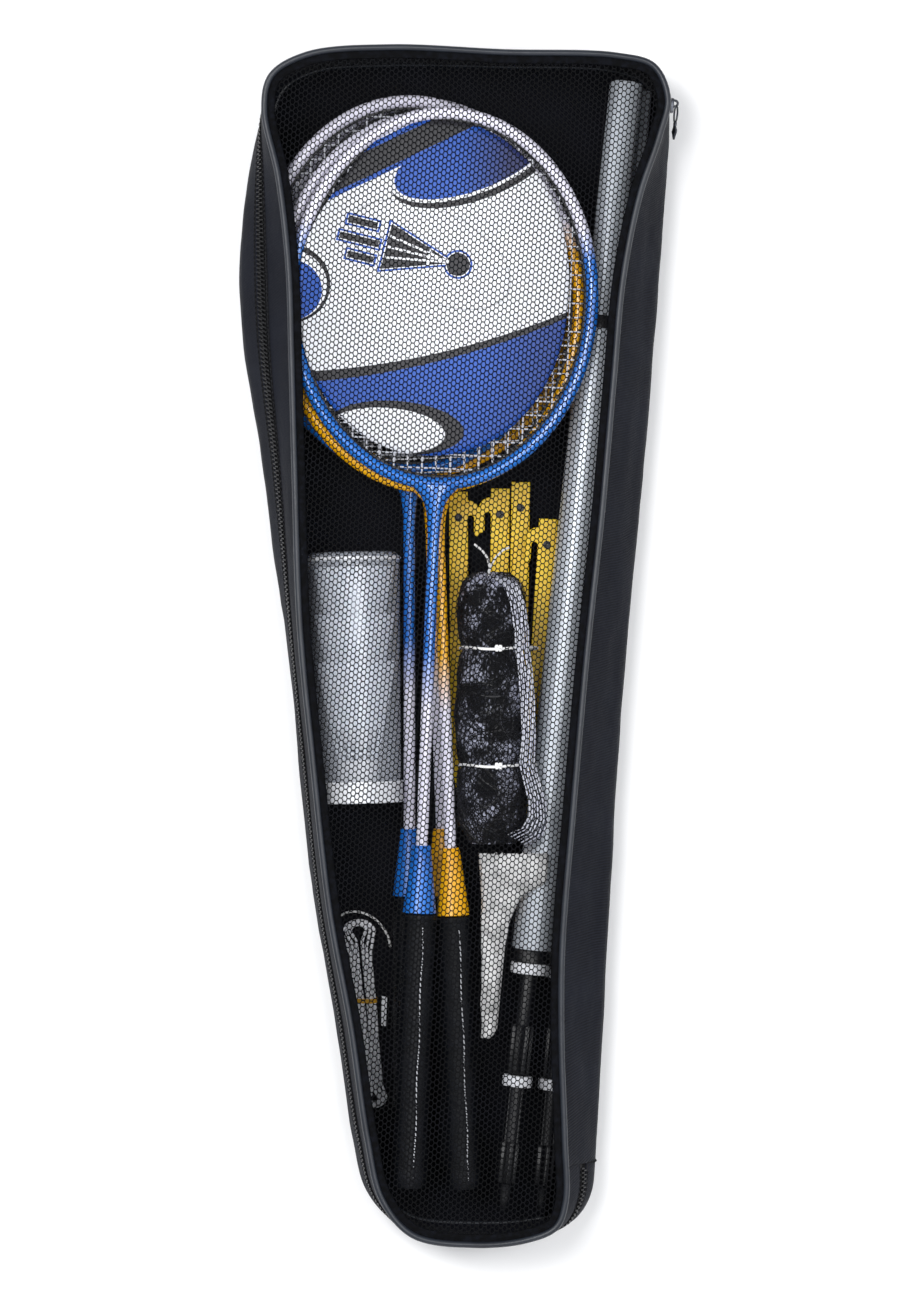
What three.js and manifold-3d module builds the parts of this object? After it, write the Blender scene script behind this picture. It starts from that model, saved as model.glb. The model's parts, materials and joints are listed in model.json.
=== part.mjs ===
// A portable badminton set packed in its carry bag: net, poles, pegs, guy rope, rackets and
// shuttlecocks in a tapered bag with a see-through mesh front. Millimetres, +Z up.
// The bag lies on its back: +Y is its wide end, +Z its mesh front, and the origin is in the
// middle of its flat back.
import * as THREE from "three";
import { mergeVertices } from "three/addons/utils/BufferGeometryUtils.js";
import Module from "manifold-3d";

const wasm = await Module();
wasm.setup();

// ---------- driving dimensions ----------
const FABRIC = 1.5; // wall of the bag
const GAP = 0.3; // between pieces that touch

// The bag's outline, anticlockwise from the middle of the narrow end. Each station holds the
// front edge (x, y) and the widest line of the side wall (x, y).
const STATIONS = [
  [11, -365, 11, -363],
  [44, -362, 48, -361],
  [62, -354, 72, -354],
  [68, -338, 84, -338],
  [67.5, -300, 87, -300],
  [65.5, -240, 90.5, -235],
  [66, -184, 94, -170],
  [73, -96, 99, -90],
  [81, -5, 106, 0],
  [90, 79, 114, 85],
  [97, 158, 121, 165],
  [103, 222, 126, 228],
  [113, 272, 129, 276],
  [125, 308, 131, 312],
  [130, 331, 130, 333],
  [121, 351, 120, 351],
  [98, 357.5, 98, 359.5],
  [30, 359.5, 30, 362],
  [-40, 362.5, -40, 363],
  [-90, 358, -88, 359],
  [-112, 345, -110, 346],
  [-116.5, 324, -119, 322],
  [-108, 283, -128, 282],
  [-102, 230, -132, 240],
  [-100, 172, -130, 190],
  [-98, 100, -117, 105],
  [-95, 12, -105, 15],
  [-87, -72, -96, -72],
  [-77, -161, -86, -161],
  [-64, -232, -74, -232],
  [-54, -300, -63, -300],
  [-45, -337, -52, -338],
  [-26, -359, -30, -358],
];
const BACK_INSET = 5; // how far the back edge lies inside the widest line
const WIDEST_Z = 30; // height of the widest line
const FRONT_Z = 63; // height of the front edge
const REAR_GUSSET_TOP = 42;
const ZIP_MIDDLE = 45;
const FRONT_GUSSET_LOW = 48.3;
const ZIP_FROM = 13.6; // stations where the zip starts, at the wide end, and ends
const ZIP_TO = 36.6;
const BINDING_WIDTH = 6;
const PIPING_RADIUS = 2.1;
const MESH_THICKNESS = 0.8;

const SLIDER_CENTRE = [104, 331]; // centre of the rounded corner that the slider runs round
const SLIDER_RADIUS = 28.7;
const SLIDER_ANGLE = THREE.MathUtils.degToRad(-5);
const PULL_LENGTH = 21;

const HEAD_A = 91; // half axes of a racket head's centreline
const HEAD_B = 112.6;
const HEAD_TUBE = 3.9;
const SHAFT_RADIUS = 3.6;
const CONE_TOP = -333; // along a racket, from its head's centre
const CONE_LENGTH = 41;
const GRIP_LENGTH = 167;
const GRIP_RADIUS = 11.2;
const SHAFT_IN_GRIP = 50;
// Each racket: head centre, the middle of its butt, and its colour.
const RACKETS = [
  { name: "racket_1", head: [-7.5, 210, 56.4], butt: [-28, -331, 48.5], colour: 0x2f7fd6 },
  { name: "racket_2", head: [-15.5, 208, 48], butt: [5, -326, 37.5], colour: 0xf2b50f },
  { name: "racket_3", head: [-28, 219, 36], butt: [-28, -315, 14], colour: 0x2565b4 },
  { name: "racket_4", head: [-20, 219, 25], butt: [-1, -315, 14], colour: 0xd99c0a },
];
const CARD_CENTRE = [-2.5, 4, 0.8]; // on the front racket, from its head's centre
const CARD_A = 81;
const CARD_B = 101;

// Each pole: the top of its upper tube, a point low on its axis, the upper tube's radius and
// its height above the back.
const POLES = [
  { name: "pole_1", top: [105, 344], low: [46, -196], upper: 10, z: 34.6 },
  { name: "pole_2", top: [116.5, 341], low: [59.5, -279], upper: 5, z: 14.6 },
];
const TUBE_RADIUS = 12.2;
const TUBE_WALL = 1;
const UPPER_WALL = 0.8;
const JOINT_AT = 152; // from the top of a pole to the top of its lower tube
const LOWER_TUBE = 382;
const UPPER_TUBE = 210;

const SHUTTLE_TUBE = { top: [-62.5, 56.5], bottom: [-59, -97], z: 32 };
const TUBE_TOP_RADIUS = 28.6;
const TUBE_BOTTOM_RADIUS = 26.2;
const SHUTTLE_PITCH = 29;

const NET_MIDDLE_X = 22.5;
const NET_MIDDLE_Z = 37;

const PEG_LENGTH = 190;
const PEG_WIDTH = 11.5;
// Each peg: where its top is, its turn in the plane and the side that its hook points to.
const PEGS = [
  { name: "peg_1", top: [2, 94], lean: 0.4, hook: 1 },
  { name: "peg_2", top: [28, 96], lean: -0.6, hook: -1 },
  { name: "peg_3", top: [40.6, 100], lean: -0.8, hook: 0 },
  { name: "peg_4", top: [57.5, 77], lean: -3.5, hook: -1, lift: 10 },
];

// ---------- colours ----------
const paint = (color, roughness, metalness = 0) =>
  new THREE.MeshStandardMaterial({ color, roughness, metalness });
const BLACK_FABRIC = paint(0x1b1d22, 0.85);
const BLACK_MESH = paint(0x111318, 0.7);
const GREY_PIPING = paint(0x59616b, 0.5);
const ZIP_BLACK = paint(0x0c0d10, 0.4);
const ZIP_METAL = paint(0x4a4c50, 0.3, 0.9);
const GRIP_BLACK = paint(0x15171b, 0.6);
const STRING_WHITE = paint(0xe8eaee, 0.4);
const CARD_WHITE = paint(0xf1f3f7, 0.6);
const CLEAR_PLASTIC = paint(0xdfe6ea, 0.1);
const NYLON_WHITE = paint(0xf4f5f6, 0.45);
const NET_BLACK = paint(0x14161a, 0.6);
const TAPE_WHITE = paint(0xeef0f5, 0.7);
const PEG_YELLOW = paint(0xf0c414, 0.4);
const TUBE_SILVER = paint(0xb9bfc4, 0.35, 0.7);
const PLUG_BLACK = paint(0x121317, 0.5);
const RING_WHITE = paint(0xe6e8ea, 0.5);

// ---------- solids ----------
function solidOf(geometry) {
  const bare = geometry.index ? geometry.toNonIndexed() : geometry.clone();
  bare.deleteAttribute("normal");
  bare.deleteAttribute("uv");
  const merged = mergeVertices(bare, 1e-4);
  const mesh = new wasm.Mesh({
    numProp: 3,
    vertProperties: merged.attributes.position.array,
    triVerts: new Uint32Array(merged.index.array),
  });
  return new wasm.Manifold(mesh);
}

function geometryOf(solid) {
  const mesh = solid.getMesh();
  const geometry = new THREE.BufferGeometry();
  geometry.setAttribute("position", new THREE.BufferAttribute(mesh.vertProperties, 3));
  geometry.setIndex(new THREE.BufferAttribute(mesh.triVerts, 1));
  return geometry;
}

const join = (...parts) => geometryOf(parts.map(solidOf).reduce((a, b) => a.add(b)));
const cut = (part, ...tools) =>
  geometryOf(tools.map(solidOf).reduce((a, b) => a.subtract(b), solidOf(part)));

// A closed surface from rows of points: each row is a closed loop, and the rows are joined in
// turn. With a loop of rows the last row meets the first, and otherwise flat fans cap the ends.
function surface(rows, rowsMeet) {
  const wide = rows[0].length;
  const at = (r, i) => rows[r % rows.length][i % wide];
  const points = [];
  const last = rowsMeet ? rows.length : rows.length - 1;
  for (let r = 0; r < last; r++)
    for (let i = 0; i < wide; i++) {
      points.push(at(r, i), at(r, i + 1), at(r + 1, i + 1));
      points.push(at(r, i), at(r + 1, i + 1), at(r + 1, i));
    }
  if (!rowsMeet)
    for (let i = 1; i < wide - 1; i++) {
      points.push(at(0, 0), at(0, i + 1), at(0, i));
      points.push(at(last, 0), at(last, i), at(last, i + 1));
    }
  return new THREE.BufferGeometry().setFromPoints(points);
}

// A tube of round section along a closed loop of points that lies about level.
function loopTube(points, radius, sides) {
  const up = new THREE.Vector3(0, 0, 1);
  const rows = points.map((point, i) => {
    const next = points[(i + 1) % points.length];
    const previous = points[(i + points.length - 1) % points.length];
    const out = next.clone().sub(previous).normalize().cross(up).normalize();
    return Array.from({ length: sides }, (_, k) => {
      const turn = (-2 * Math.PI * k) / sides;
      return point
        .clone()
        .addScaledVector(out, radius * Math.cos(turn))
        .addScaledVector(up, radius * Math.sin(turn));
    });
  });
  return surface(rows, true);
}

const lathe = (profile, segments) =>
  new THREE.LatheGeometry(profile.map(([r, y]) => new THREE.Vector2(r, y)), segments);

const rod = (radius, from, to, sides = 20) =>
  new THREE.CylinderGeometry(radius, radius, to - from, sides).translate(0, (from + to) / 2, 0);

function plate(points, low, high) {
  return new THREE.ExtrudeGeometry(new THREE.Shape(points), {
    depth: high - low,
    bevelEnabled: false,
  }).translate(0, 0, low);
}

function oval(a, b, count) {
  return Array.from({ length: count }, (_, i) => {
    const turn = (2 * Math.PI * i) / count;
    return new THREE.Vector2(a * Math.cos(turn), b * Math.sin(turn));
  });
}

const object = new THREE.Group();

function piece(name, geometry, material, parent = object) {
  const mesh = new THREE.Mesh(geometry, material);
  mesh.name = name;
  parent.add(mesh);
  return mesh;
}

// A group whose +Y axis runs from one point to another and whose origin is the first.
function groupAlong(from, to) {
  const group = new THREE.Group();
  const way = new THREE.Vector3(...to).sub(new THREE.Vector3(...from)).normalize();
  group.quaternion.setFromUnitVectors(new THREE.Vector3(0, 1, 0), way);
  group.position.set(...from);
  object.add(group);
  return group;
}

// ---------- the bag ----------
const frontLine = new THREE.CatmullRomCurve3(
  STATIONS.map(([x, y]) => new THREE.Vector3(x, y, 0)), true, "centripetal");
const widestLine = new THREE.CatmullRomCurve3(
  STATIONS.map(([, , x, y]) => new THREE.Vector3(x, y, 0)), true, "centripetal");

// The bag's outer skin at a station and a height, moved inwards by an inset.
function skin(station, z, inset = 0) {
  const share = THREE.MathUtils.clamp((z - WIDEST_Z) / (FRONT_Z - WIDEST_Z), 0, 1);
  const low = THREE.MathUtils.clamp(1 - z / WIDEST_Z, 0, 1);
  const place = (s) => {
    const t = THREE.MathUtils.euclideanModulo(s / STATIONS.length, 1);
    return widestLine.getPoint(t).lerp(frontLine.getPoint(t), share);
  };
  const step = 0.05;
  const along = place(station + step).sub(place(station - step)).normalize();
  const inwards = new THREE.Vector3(-along.y, along.x, 0);
  const point = place(station).addScaledVector(inwards, inset + BACK_INSET * low * low);
  return point.setZ(z);
}

function stationsBetween(from, to, perStation) {
  const steps = Math.round((to - from) * perStation);
  return Array.from({ length: steps + 1 }, (_, i) => from + ((to - from) * i) / steps);
}
const ALL_ROUND = stationsBetween(0, STATIONS.length - 0.5, 2);

// A wall of the bag between two or more heights, all round or along some stations.
function wall(stations, heights, thickness, allRound) {
  const rows = stations.map((station) => [
    ...heights.map((z) => skin(station, z, thickness)),
    ...heights.toReversed().map((z) => skin(station, z)),
  ]);
  return surface(rows, allRound);
}

const flatOutline = (z, inset) =>
  ALL_ROUND.map((station) => skin(station, z, inset)).map((p) => new THREE.Vector2(p.x, p.y));

function makeBag() {
  piece("back_panel", plate(flatOutline(0, 0), 0, FABRIC), BLACK_FABRIC);
  const rearHeights = [FABRIC + GAP, 10, WIDEST_Z, REAR_GUSSET_TOP];
  piece("rear_gusset", wall(ALL_ROUND, rearHeights, FABRIC, true), BLACK_FABRIC);
  const frontHeights = [FRONT_GUSSET_LOW, FRONT_Z];
  piece("front_gusset", wall(ALL_ROUND, frontHeights, FABRIC, true), BLACK_FABRIC);

  const zip = stationsBetween(ZIP_FROM, ZIP_TO, 2);
  const rearTape = [REAR_GUSSET_TOP + GAP, ZIP_MIDDLE - GAP];
  const frontTape = [ZIP_MIDDLE + GAP, FRONT_GUSSET_LOW - GAP];
  piece("zip_rear_chain", wall(zip, rearTape, FABRIC, false), ZIP_BLACK);
  piece("zip_front_chain", wall(zip, frontTape, FABRIC, false), ZIP_BLACK);
  const hingeSide = stationsBetween(ZIP_TO - STATIONS.length + 0.02, ZIP_FROM - 0.02, 2);
  const hingeHeights = [REAR_GUSSET_TOP + GAP, FRONT_GUSSET_LOW - GAP];
  piece("hinge_strip", wall(hingeSide, hingeHeights, FABRIC, false), BLACK_FABRIC);

  const meshLow = FRONT_Z - MESH_THICKNESS;
  const meshEdge = FABRIC + GAP;
  piece("mesh_panel", plate(flatOutline(FRONT_Z, meshEdge), meshLow, FRONT_Z), BLACK_MESH);
  const bindingTop = meshLow - GAP;
  const binding = new THREE.Shape(flatOutline(FRONT_Z, meshEdge));
  binding.holes.push(new THREE.Path(flatOutline(FRONT_Z, meshEdge + BINDING_WIDTH)));
  const bindingShape = new THREE.ExtrudeGeometry(binding, { depth: 1, bevelEnabled: false });
  piece("mesh_binding", bindingShape.translate(0, 0, bindingTop - 1), BLACK_FABRIC);
  const pipingZ = FRONT_Z + GAP + PIPING_RADIUS;
  const pipingLine = ALL_ROUND.map((station) => skin(station, FRONT_Z, 1).setZ(pipingZ));
  piece("front_piping", loopTube(pipingLine, PIPING_RADIUS, 8), GREY_PIPING);
}

// The slider sits on the zip at the rounded corner of the wide end, with its pull hanging.
function makeSlider() {
  const slider = new THREE.Group();
  slider.position.set(
    SLIDER_CENTRE[0] + SLIDER_RADIUS * Math.cos(SLIDER_ANGLE),
    SLIDER_CENTRE[1] + SLIDER_RADIUS * Math.sin(SLIDER_ANGLE),
    ZIP_MIDDLE - 1,
  );
  slider.rotation.z = SLIDER_ANGLE;
  object.add(slider);
  const body = new THREE.BoxGeometry(2.4, 9, 5);
  const bridge = new THREE.BoxGeometry(1.8, 1.6, 3).translate(1.4, 2.8, 0);
  piece("zip_slider", join(body, bridge), ZIP_METAL, slider);
  const tab = new THREE.Shape([
    new THREE.Vector2(-1, 0),
    new THREE.Vector2(-1.6, -8),
    new THREE.Vector2(-2.6, -13),
    new THREE.Vector2(0, -PULL_LENGTH),
    new THREE.Vector2(2.6, -13),
    new THREE.Vector2(1.6, -8),
    new THREE.Vector2(1, 0),
  ]);
  const tabShape = new THREE.ExtrudeGeometry(tab, { depth: 1.4, bevelEnabled: false });
  const pull = piece("zip_pull", tabShape.translate(0, 0, -0.7), ZIP_METAL, slider);
  pull.rotation.y = Math.PI / 2;
  pull.position.set(2.6, 0.4, 0);
}

// ---------- rackets ----------
function racketFrame() {
  const ring = oval(HEAD_A, HEAD_B, 44).map((p) => new THREE.Vector3(p.x, p.y, 0));
  const shaft = rod(SHAFT_RADIUS, CONE_TOP - CONE_LENGTH - SHAFT_IN_GRIP, -HEAD_B, 12);
  const throat = lathe([[0, -150], [SHAFT_RADIUS, -150], [5, -132], [10.5, -117.5], [0, -114]], 12);
  return join(loopTube(ring, HEAD_TUBE, 8), shaft, throat.scale(1, 1, 0.42));
}

function makeRacket({ name, head, butt, colour }) {
  const racket = groupAlong(butt, head);
  const reach = new THREE.Vector3(...head).distanceTo(new THREE.Vector3(...butt));
  const inner = new THREE.Group();
  inner.position.y = reach;
  racket.add(inner);
  const shellPaint = paint(colour, 0.3);
  piece(`${name}_frame`, racketFrame(), shellPaint, inner);
  const bedOutline = oval(HEAD_A - HEAD_TUBE - GAP, HEAD_B - HEAD_TUBE - GAP, 44);
  piece(`${name}_strings`, plate(bedOutline, -0.5, 0.5), STRING_WHITE, inner);
  const bore = SHAFT_RADIUS + GAP;
  const coneEnd = CONE_TOP - CONE_LENGTH;
  const cone = lathe(
    [[bore, coneEnd], [10.2, coneEnd], [5.6, CONE_TOP], [bore, CONE_TOP], [bore, coneEnd]], 16);
  piece(`${name}_cone`, cone, shellPaint, inner);
  const gripTop = coneEnd - GAP;
  const grip = rod(GRIP_RADIUS, gripTop - GRIP_LENGTH, gripTop, 8).rotateY(Math.PI / 8);
  const socket = rod(bore, coneEnd - SHAFT_IN_GRIP - GAP, gripTop + 1, 12);
  piece(`${name}_grip`, cut(grip, socket), GRIP_BLACK, inner);
  return inner;
}

function makeCard(racket) {
  const shape = plate(oval(CARD_A, CARD_B, 40), 0, 0.6);
  piece("backing_card", shape, CARD_WHITE, racket).position.set(...CARD_CENTRE);
}

// ---------- poles ----------
// A pole lies along -Y of its group, from the top of its upper tube at the origin.
function makePole({ name, top, low, upper, z }) {
  const pole = groupAlong([...top, z], [top[0] * 2 - low[0], top[1] * 2 - low[1], z]);
  const ring = (inner, outer, from, to) =>
    lathe([[inner, from], [outer, from], [outer, to], [inner, to], [inner, from]], 24);
  const tubeTop = -JOINT_AT;
  const tubeEnd = tubeTop - LOWER_TUBE;
  const upperTube = lathe([
    [upper - UPPER_WALL, -UPPER_TUBE],
    [upper, -UPPER_TUBE],
    [upper, -1],
    [upper - 1, 0],
    [0, 0],
    [0, -1.5],
    [upper - UPPER_WALL, -1.5],
    [upper - UPPER_WALL, -UPPER_TUBE],
  ], 24);
  piece(`${name}_upper_tube`, upperTube, TUBE_SILVER, pole);
  const reducer = lathe([
    [upper + GAP, tubeTop - 18],
    [TUBE_RADIUS - TUBE_WALL - GAP, tubeTop - 18],
    [TUBE_RADIUS - TUBE_WALL - GAP, tubeTop + GAP],
    [TUBE_RADIUS, tubeTop + GAP],
    [TUBE_RADIUS - 0.6, tubeTop + 8],
    [upper + GAP, tubeTop + 8],
    [upper + GAP, tubeTop - 18],
  ], 24);
  piece(`${name}_reducer`, reducer, PLUG_BLACK, pole);
  const tube = ring(TUBE_RADIUS - TUBE_WALL, TUBE_RADIUS, tubeEnd, tubeTop);
  piece(`${name}_lower_tube`, tube, TUBE_SILVER, pole);

  const collarEnd = tubeEnd - 8;
  const ringEnd = collarEnd - 7;
  const plug = lathe([
    [0, tubeEnd + 22],
    [0, ringEnd - 62],
    [7, ringEnd - 62],
    [7.4, ringEnd - 34],
    [5.6, ringEnd - 31],
    [5.6, collarEnd],
    [TUBE_RADIUS - 0.2, collarEnd],
    [TUBE_RADIUS - 0.2, tubeEnd - GAP],
    [TUBE_RADIUS - TUBE_WALL - GAP, tubeEnd - GAP],
    [TUBE_RADIUS - TUBE_WALL - GAP, tubeEnd + 22],
    [0, tubeEnd + 22],
  ], 24);
  piece(`${name}_plug`, plug, PLUG_BLACK, pole);
  const flange = ring(5.6 + GAP, TUBE_RADIUS - 0.4, ringEnd, collarEnd - GAP);
  piece(`${name}_plug_ring`, flange, RING_WHITE, pole);

  const spikeTop = ringEnd - 62 - GAP;
  const spike = lathe([
    [0, spikeTop],
    [5, spikeTop],
    [5, spikeTop - 40],
    [6.4, spikeTop - 43],
    [6.2, spikeTop - 66],
    [4.6, spikeTop - 69],
    [2.6, spikeTop - 84],
    [0, spikeTop - 84],
  ].toReversed(), 20);
  piece(`${name}_spike`, spike, PLUG_BLACK, pole);
  const spikeRing = ring(5 + GAP, 9.2, spikeTop - 7, spikeTop - GAP);
  piece(`${name}_spike_ring`, spikeRing, RING_WHITE, pole);
}

// ---------- shuttlecocks in their tube ----------
function makeShuttleTube() {
  const { top, bottom, z } = SHUTTLE_TUBE;
  const tube = groupAlong([...bottom, z], [...top, z]);
  const long = Math.hypot(top[0] - bottom[0], top[1] - bottom[1]);
  const wallSide = 0.7;
  const clear = lathe([
    [TUBE_BOTTOM_RADIUS - wallSide, 2],
    [TUBE_BOTTOM_RADIUS, 2],
    [TUBE_TOP_RADIUS, long - 3],
    [TUBE_TOP_RADIUS - 3, long],
    [0, long + 0.8],
    [0, long],
    [TUBE_TOP_RADIUS - 3.4, long - 0.8],
    [TUBE_TOP_RADIUS - wallSide, long - 3.4],
    [TUBE_BOTTOM_RADIUS - wallSide, 2],
  ], 32);
  piece("shuttle_tube", clear, CLEAR_PLASTIC, tube);
  const cap = lathe([
    [0, 0],
    [TUBE_BOTTOM_RADIUS + 1.6, 0],
    [TUBE_BOTTOM_RADIUS + 1.6, 13],
    [TUBE_BOTTOM_RADIUS + 0.7, 13],
    [TUBE_BOTTOM_RADIUS + 0.7, 1.4],
    [0, 1.4],
  ], 32);
  piece("tube_cap", cap, NYLON_WHITE, tube);

  for (let i = 0; i < 3; i++) {
    const low = 3 + SHUTTLE_PITCH * i;
    const cork = lathe([
      [0, low],
      [7.5, low + 1.8],
      [12.6, low + 11],
      [12.6, low + 23],
      [0, low + 23],
    ], 20);
    piece(`shuttlecock_${i + 1}_cork`, cork, NYLON_WHITE, tube);
    const skirtLow = low + 23 + GAP;
    const skirt = lathe([
      [10.6, skirtLow],
      [12.4, skirtLow],
      [24.8, skirtLow + 60],
      [23.8, skirtLow + 60],
      [10.6, skirtLow],
    ], 24);
    piece(`shuttlecock_${i + 1}_skirt`, skirt, NYLON_WHITE, tube);
  }
}

// ---------- the net ----------
function makeNet() {
  // Half width, half height and place along Y of the folded net, drawn in where it is tied.
  const sections = [
    [13, 11, 44],
    [19, 17, 36],
    [20.5, 20, 20],
    [19, 18, 2],
    [17.5, 17.5, -2.5],
    [20, 19, -10],
    [21.5, 20.5, -35],
    [21, 20, -66],
    [18.5, 17.5, -74],
    [20.5, 19, -82],
    [20.5, 19, -108],
    [14, 12, -124],
  ];
  const roll = (grown) =>
    surface(
      sections.map(([a, b, y]) =>
        oval(a + grown, b + grown, 14).map(
          (p) => new THREE.Vector3(NET_MIDDLE_X + p.x, y, NET_MIDDLE_Z + p.y))),
      false);
  piece("net_bundle", roll(0), NET_BLACK);
  const ties = [["net_tie_1", 18.6, 18.6, -2.5], ["net_tie_2", 19.6, 18.6, -74]];
  for (const [name, a, b, y] of ties) {
    const loop = oval(a, b, 24).map((p) => new THREE.Vector3(p.x, p.y, 0));
    const tie = piece(name, loopTube(loop, 0.8, 6), TAPE_WHITE);
    tie.position.set(NET_MIDDLE_X, y, NET_MIDDLE_Z);
    tie.rotation.x = Math.PI / 2;
  }
  const edge = [
    [33, 33],
    [39, 38],
    [42.5, 24],
    [44.5, -4],
    [47.5, -30],
    [48, -66],
    [53, -84],
    [54.5, -104],
    [50, -121],
    [43.5, -123],
    [43.5, -100],
    [44.3, -66],
    [44.3, -30],
    [42.5, -4],
    [36, 22],
  ];
  const outline = edge.map(([x, y]) => new THREE.Vector2(x + 1.2, y)).toReversed();
  const tape = cut(plate(outline, 47.2, 59.5), roll(GAP));
  piece("net_headband", tape, TAPE_WHITE);
}

// ---------- pegs ----------
function pegOutline(hook) {
  const half = PEG_WIDTH / 2;
  const blade = new THREE.Shape();
  blade.moveTo(-half, 0);
  blade.lineTo(-half, -PEG_LENGTH + 22);
  blade.lineTo(-1, -PEG_LENGTH);
  blade.lineTo(1, -PEG_LENGTH);
  blade.lineTo(half, -PEG_LENGTH + 22);
  if (hook !== 0) {
    blade.lineTo(half, -20);
    blade.absarc(half + 1.9, -16.5, 1.9, Math.PI, 0, true);
    blade.lineTo(half + 3.8, -25.5);
    blade.absarc(half + 5.7, -25.5, 1.9, Math.PI, 2 * Math.PI, false);
    blade.lineTo(half + 7.6, -15);
    blade.absarc(half, -13, 7.6, -0.2, Math.PI / 2, false);
  }
  blade.lineTo(half, 0);
  const hole = new THREE.Path();
  hole.absarc(0, -16, 1.8, 0, 2 * Math.PI, true);
  blade.holes.push(hole);
  return blade;
}

function makePeg({ name, top, lean, hook, lift = 0 }) {
  const options = { depth: 2.4, bevelEnabled: false, curveSegments: 8 };
  const blade = new THREE.ExtrudeGeometry(pegOutline(hook), options);
  const rib = new THREE.BoxGeometry(2.4, PEG_LENGTH - 50, 8).translate(0, -PEG_LENGTH / 2, -3.2);
  const peg = piece(name, join(blade, rib), PEG_YELLOW);
  const flipped = hook < 0; // its hook points the other way, so it lies on its face
  peg.position.set(...top, lift + (flipped ? 5.2 : 9.4));
  peg.rotation.set(0, flipped ? Math.PI : 0, THREE.MathUtils.degToRad(flipped ? -lean : lean));
}

// ---------- guy rope and film sleeve ----------
function makeGuyRope() {
  const hank = new THREE.Shape();
  hank.moveTo(-10, -12);
  hank.absarc(0, -11, 10, Math.PI, 0, true);
  hank.lineTo(10, -24);
  hank.lineTo(6.4, -52);
  hank.lineTo(6.4, -112);
  hank.absarc(0, -112, 6.4, 0, Math.PI, true);
  hank.lineTo(-6.4, -52);
  hank.lineTo(-10, -24);
  const options = { depth: 8, bevelEnabled: false, curveSegments: 8 };
  const shape = new THREE.ExtrudeGeometry(hank, options);
  const rope = piece("guy_rope_hank", shape, TAPE_WHITE);
  rope.position.set(-59.5, -170, FABRIC + GAP);
  rope.rotation.z = THREE.MathUtils.degToRad(3.2);
}

function makeSleeve() {
  const outline = [
    [16, -130],
    [17, -178],
    [17.5, -240],
    [26, -240],
    [30, -190],
    [38, -160],
    [57, -150],
    [59, -130],
  ].map(([x, y]) => new THREE.Vector2(x, y));
  piece("film_sleeve", plate(outline, 47.2, 49.6), RING_WHITE);
}

makeBag();
makeSlider();
const rackets = RACKETS.map(makeRacket);
makeCard(rackets[0]);
POLES.forEach(makePole);
makeShuttleTube();
makeNet();
PEGS.forEach(makePeg);
makeGuyRope();
makeSleeve();

export default object;
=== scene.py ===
"""A badminton set packed in its mesh-fronted carry bag, lying on its back, seen from above.

Lengths are in millimetres until they reach a mesh, which is in metres. The bag's outline and the
contents' places repeat those of the CAD model.
"""

import json
import math
import random

import bpy
import numpy as np
from mathutils import Matrix, Vector, noise

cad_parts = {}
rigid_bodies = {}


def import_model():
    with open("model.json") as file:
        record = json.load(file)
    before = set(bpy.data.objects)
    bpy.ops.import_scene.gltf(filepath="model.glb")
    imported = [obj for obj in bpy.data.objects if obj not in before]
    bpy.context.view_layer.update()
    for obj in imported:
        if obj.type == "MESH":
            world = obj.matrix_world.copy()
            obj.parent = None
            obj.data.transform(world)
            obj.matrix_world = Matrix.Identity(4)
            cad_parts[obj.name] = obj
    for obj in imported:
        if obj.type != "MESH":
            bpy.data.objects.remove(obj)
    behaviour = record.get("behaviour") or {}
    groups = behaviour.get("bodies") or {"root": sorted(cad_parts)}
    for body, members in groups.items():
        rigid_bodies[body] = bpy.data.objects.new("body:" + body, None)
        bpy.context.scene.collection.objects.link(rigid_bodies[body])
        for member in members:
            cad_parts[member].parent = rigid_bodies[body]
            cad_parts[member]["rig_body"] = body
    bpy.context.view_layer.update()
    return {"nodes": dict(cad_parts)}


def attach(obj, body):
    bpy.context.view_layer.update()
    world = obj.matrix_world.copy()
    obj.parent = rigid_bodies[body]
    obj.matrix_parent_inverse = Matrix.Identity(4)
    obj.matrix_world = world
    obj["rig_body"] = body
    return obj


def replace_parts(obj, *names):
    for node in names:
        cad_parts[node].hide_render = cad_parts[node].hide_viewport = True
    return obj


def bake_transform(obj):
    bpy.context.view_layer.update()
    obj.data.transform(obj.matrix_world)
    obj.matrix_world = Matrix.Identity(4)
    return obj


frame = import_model()
MM = 0.001
rng = random.Random(11)


# ---------------------------------------------------------------- camera, light and floor
FRAME_HEIGHT = 790.6  # what the view takes in from top to bottom
VIEW_CENTRE = (4.3, -1.8, 40.0)
CAMERA_HEIGHT = 3000.0


def make_camera():
    data = bpy.data.cameras.new("camera")
    data.sensor_width = 36.0
    data.lens = data.sensor_width * (CAMERA_HEIGHT - VIEW_CENTRE[2]) / FRAME_HEIGHT
    camera = bpy.data.objects.new("camera", data)
    camera.location = (VIEW_CENTRE[0] * MM, VIEW_CENTRE[1] * MM, CAMERA_HEIGHT * MM)
    bpy.context.collection.objects.link(camera)
    bpy.context.scene.camera = camera


def make_light(name, place, aim, size, power):
    data = bpy.data.lights.new(name, "AREA")
    data.shape = "RECTANGLE"
    data.size, data.size_y = size
    data.energy = power
    light = bpy.data.objects.new(name, data)
    light.location = place
    light.rotation_euler = (Vector(aim) - Vector(place)).to_track_quat("-Z", "Y").to_euler()
    bpy.context.collection.objects.link(light)


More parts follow.
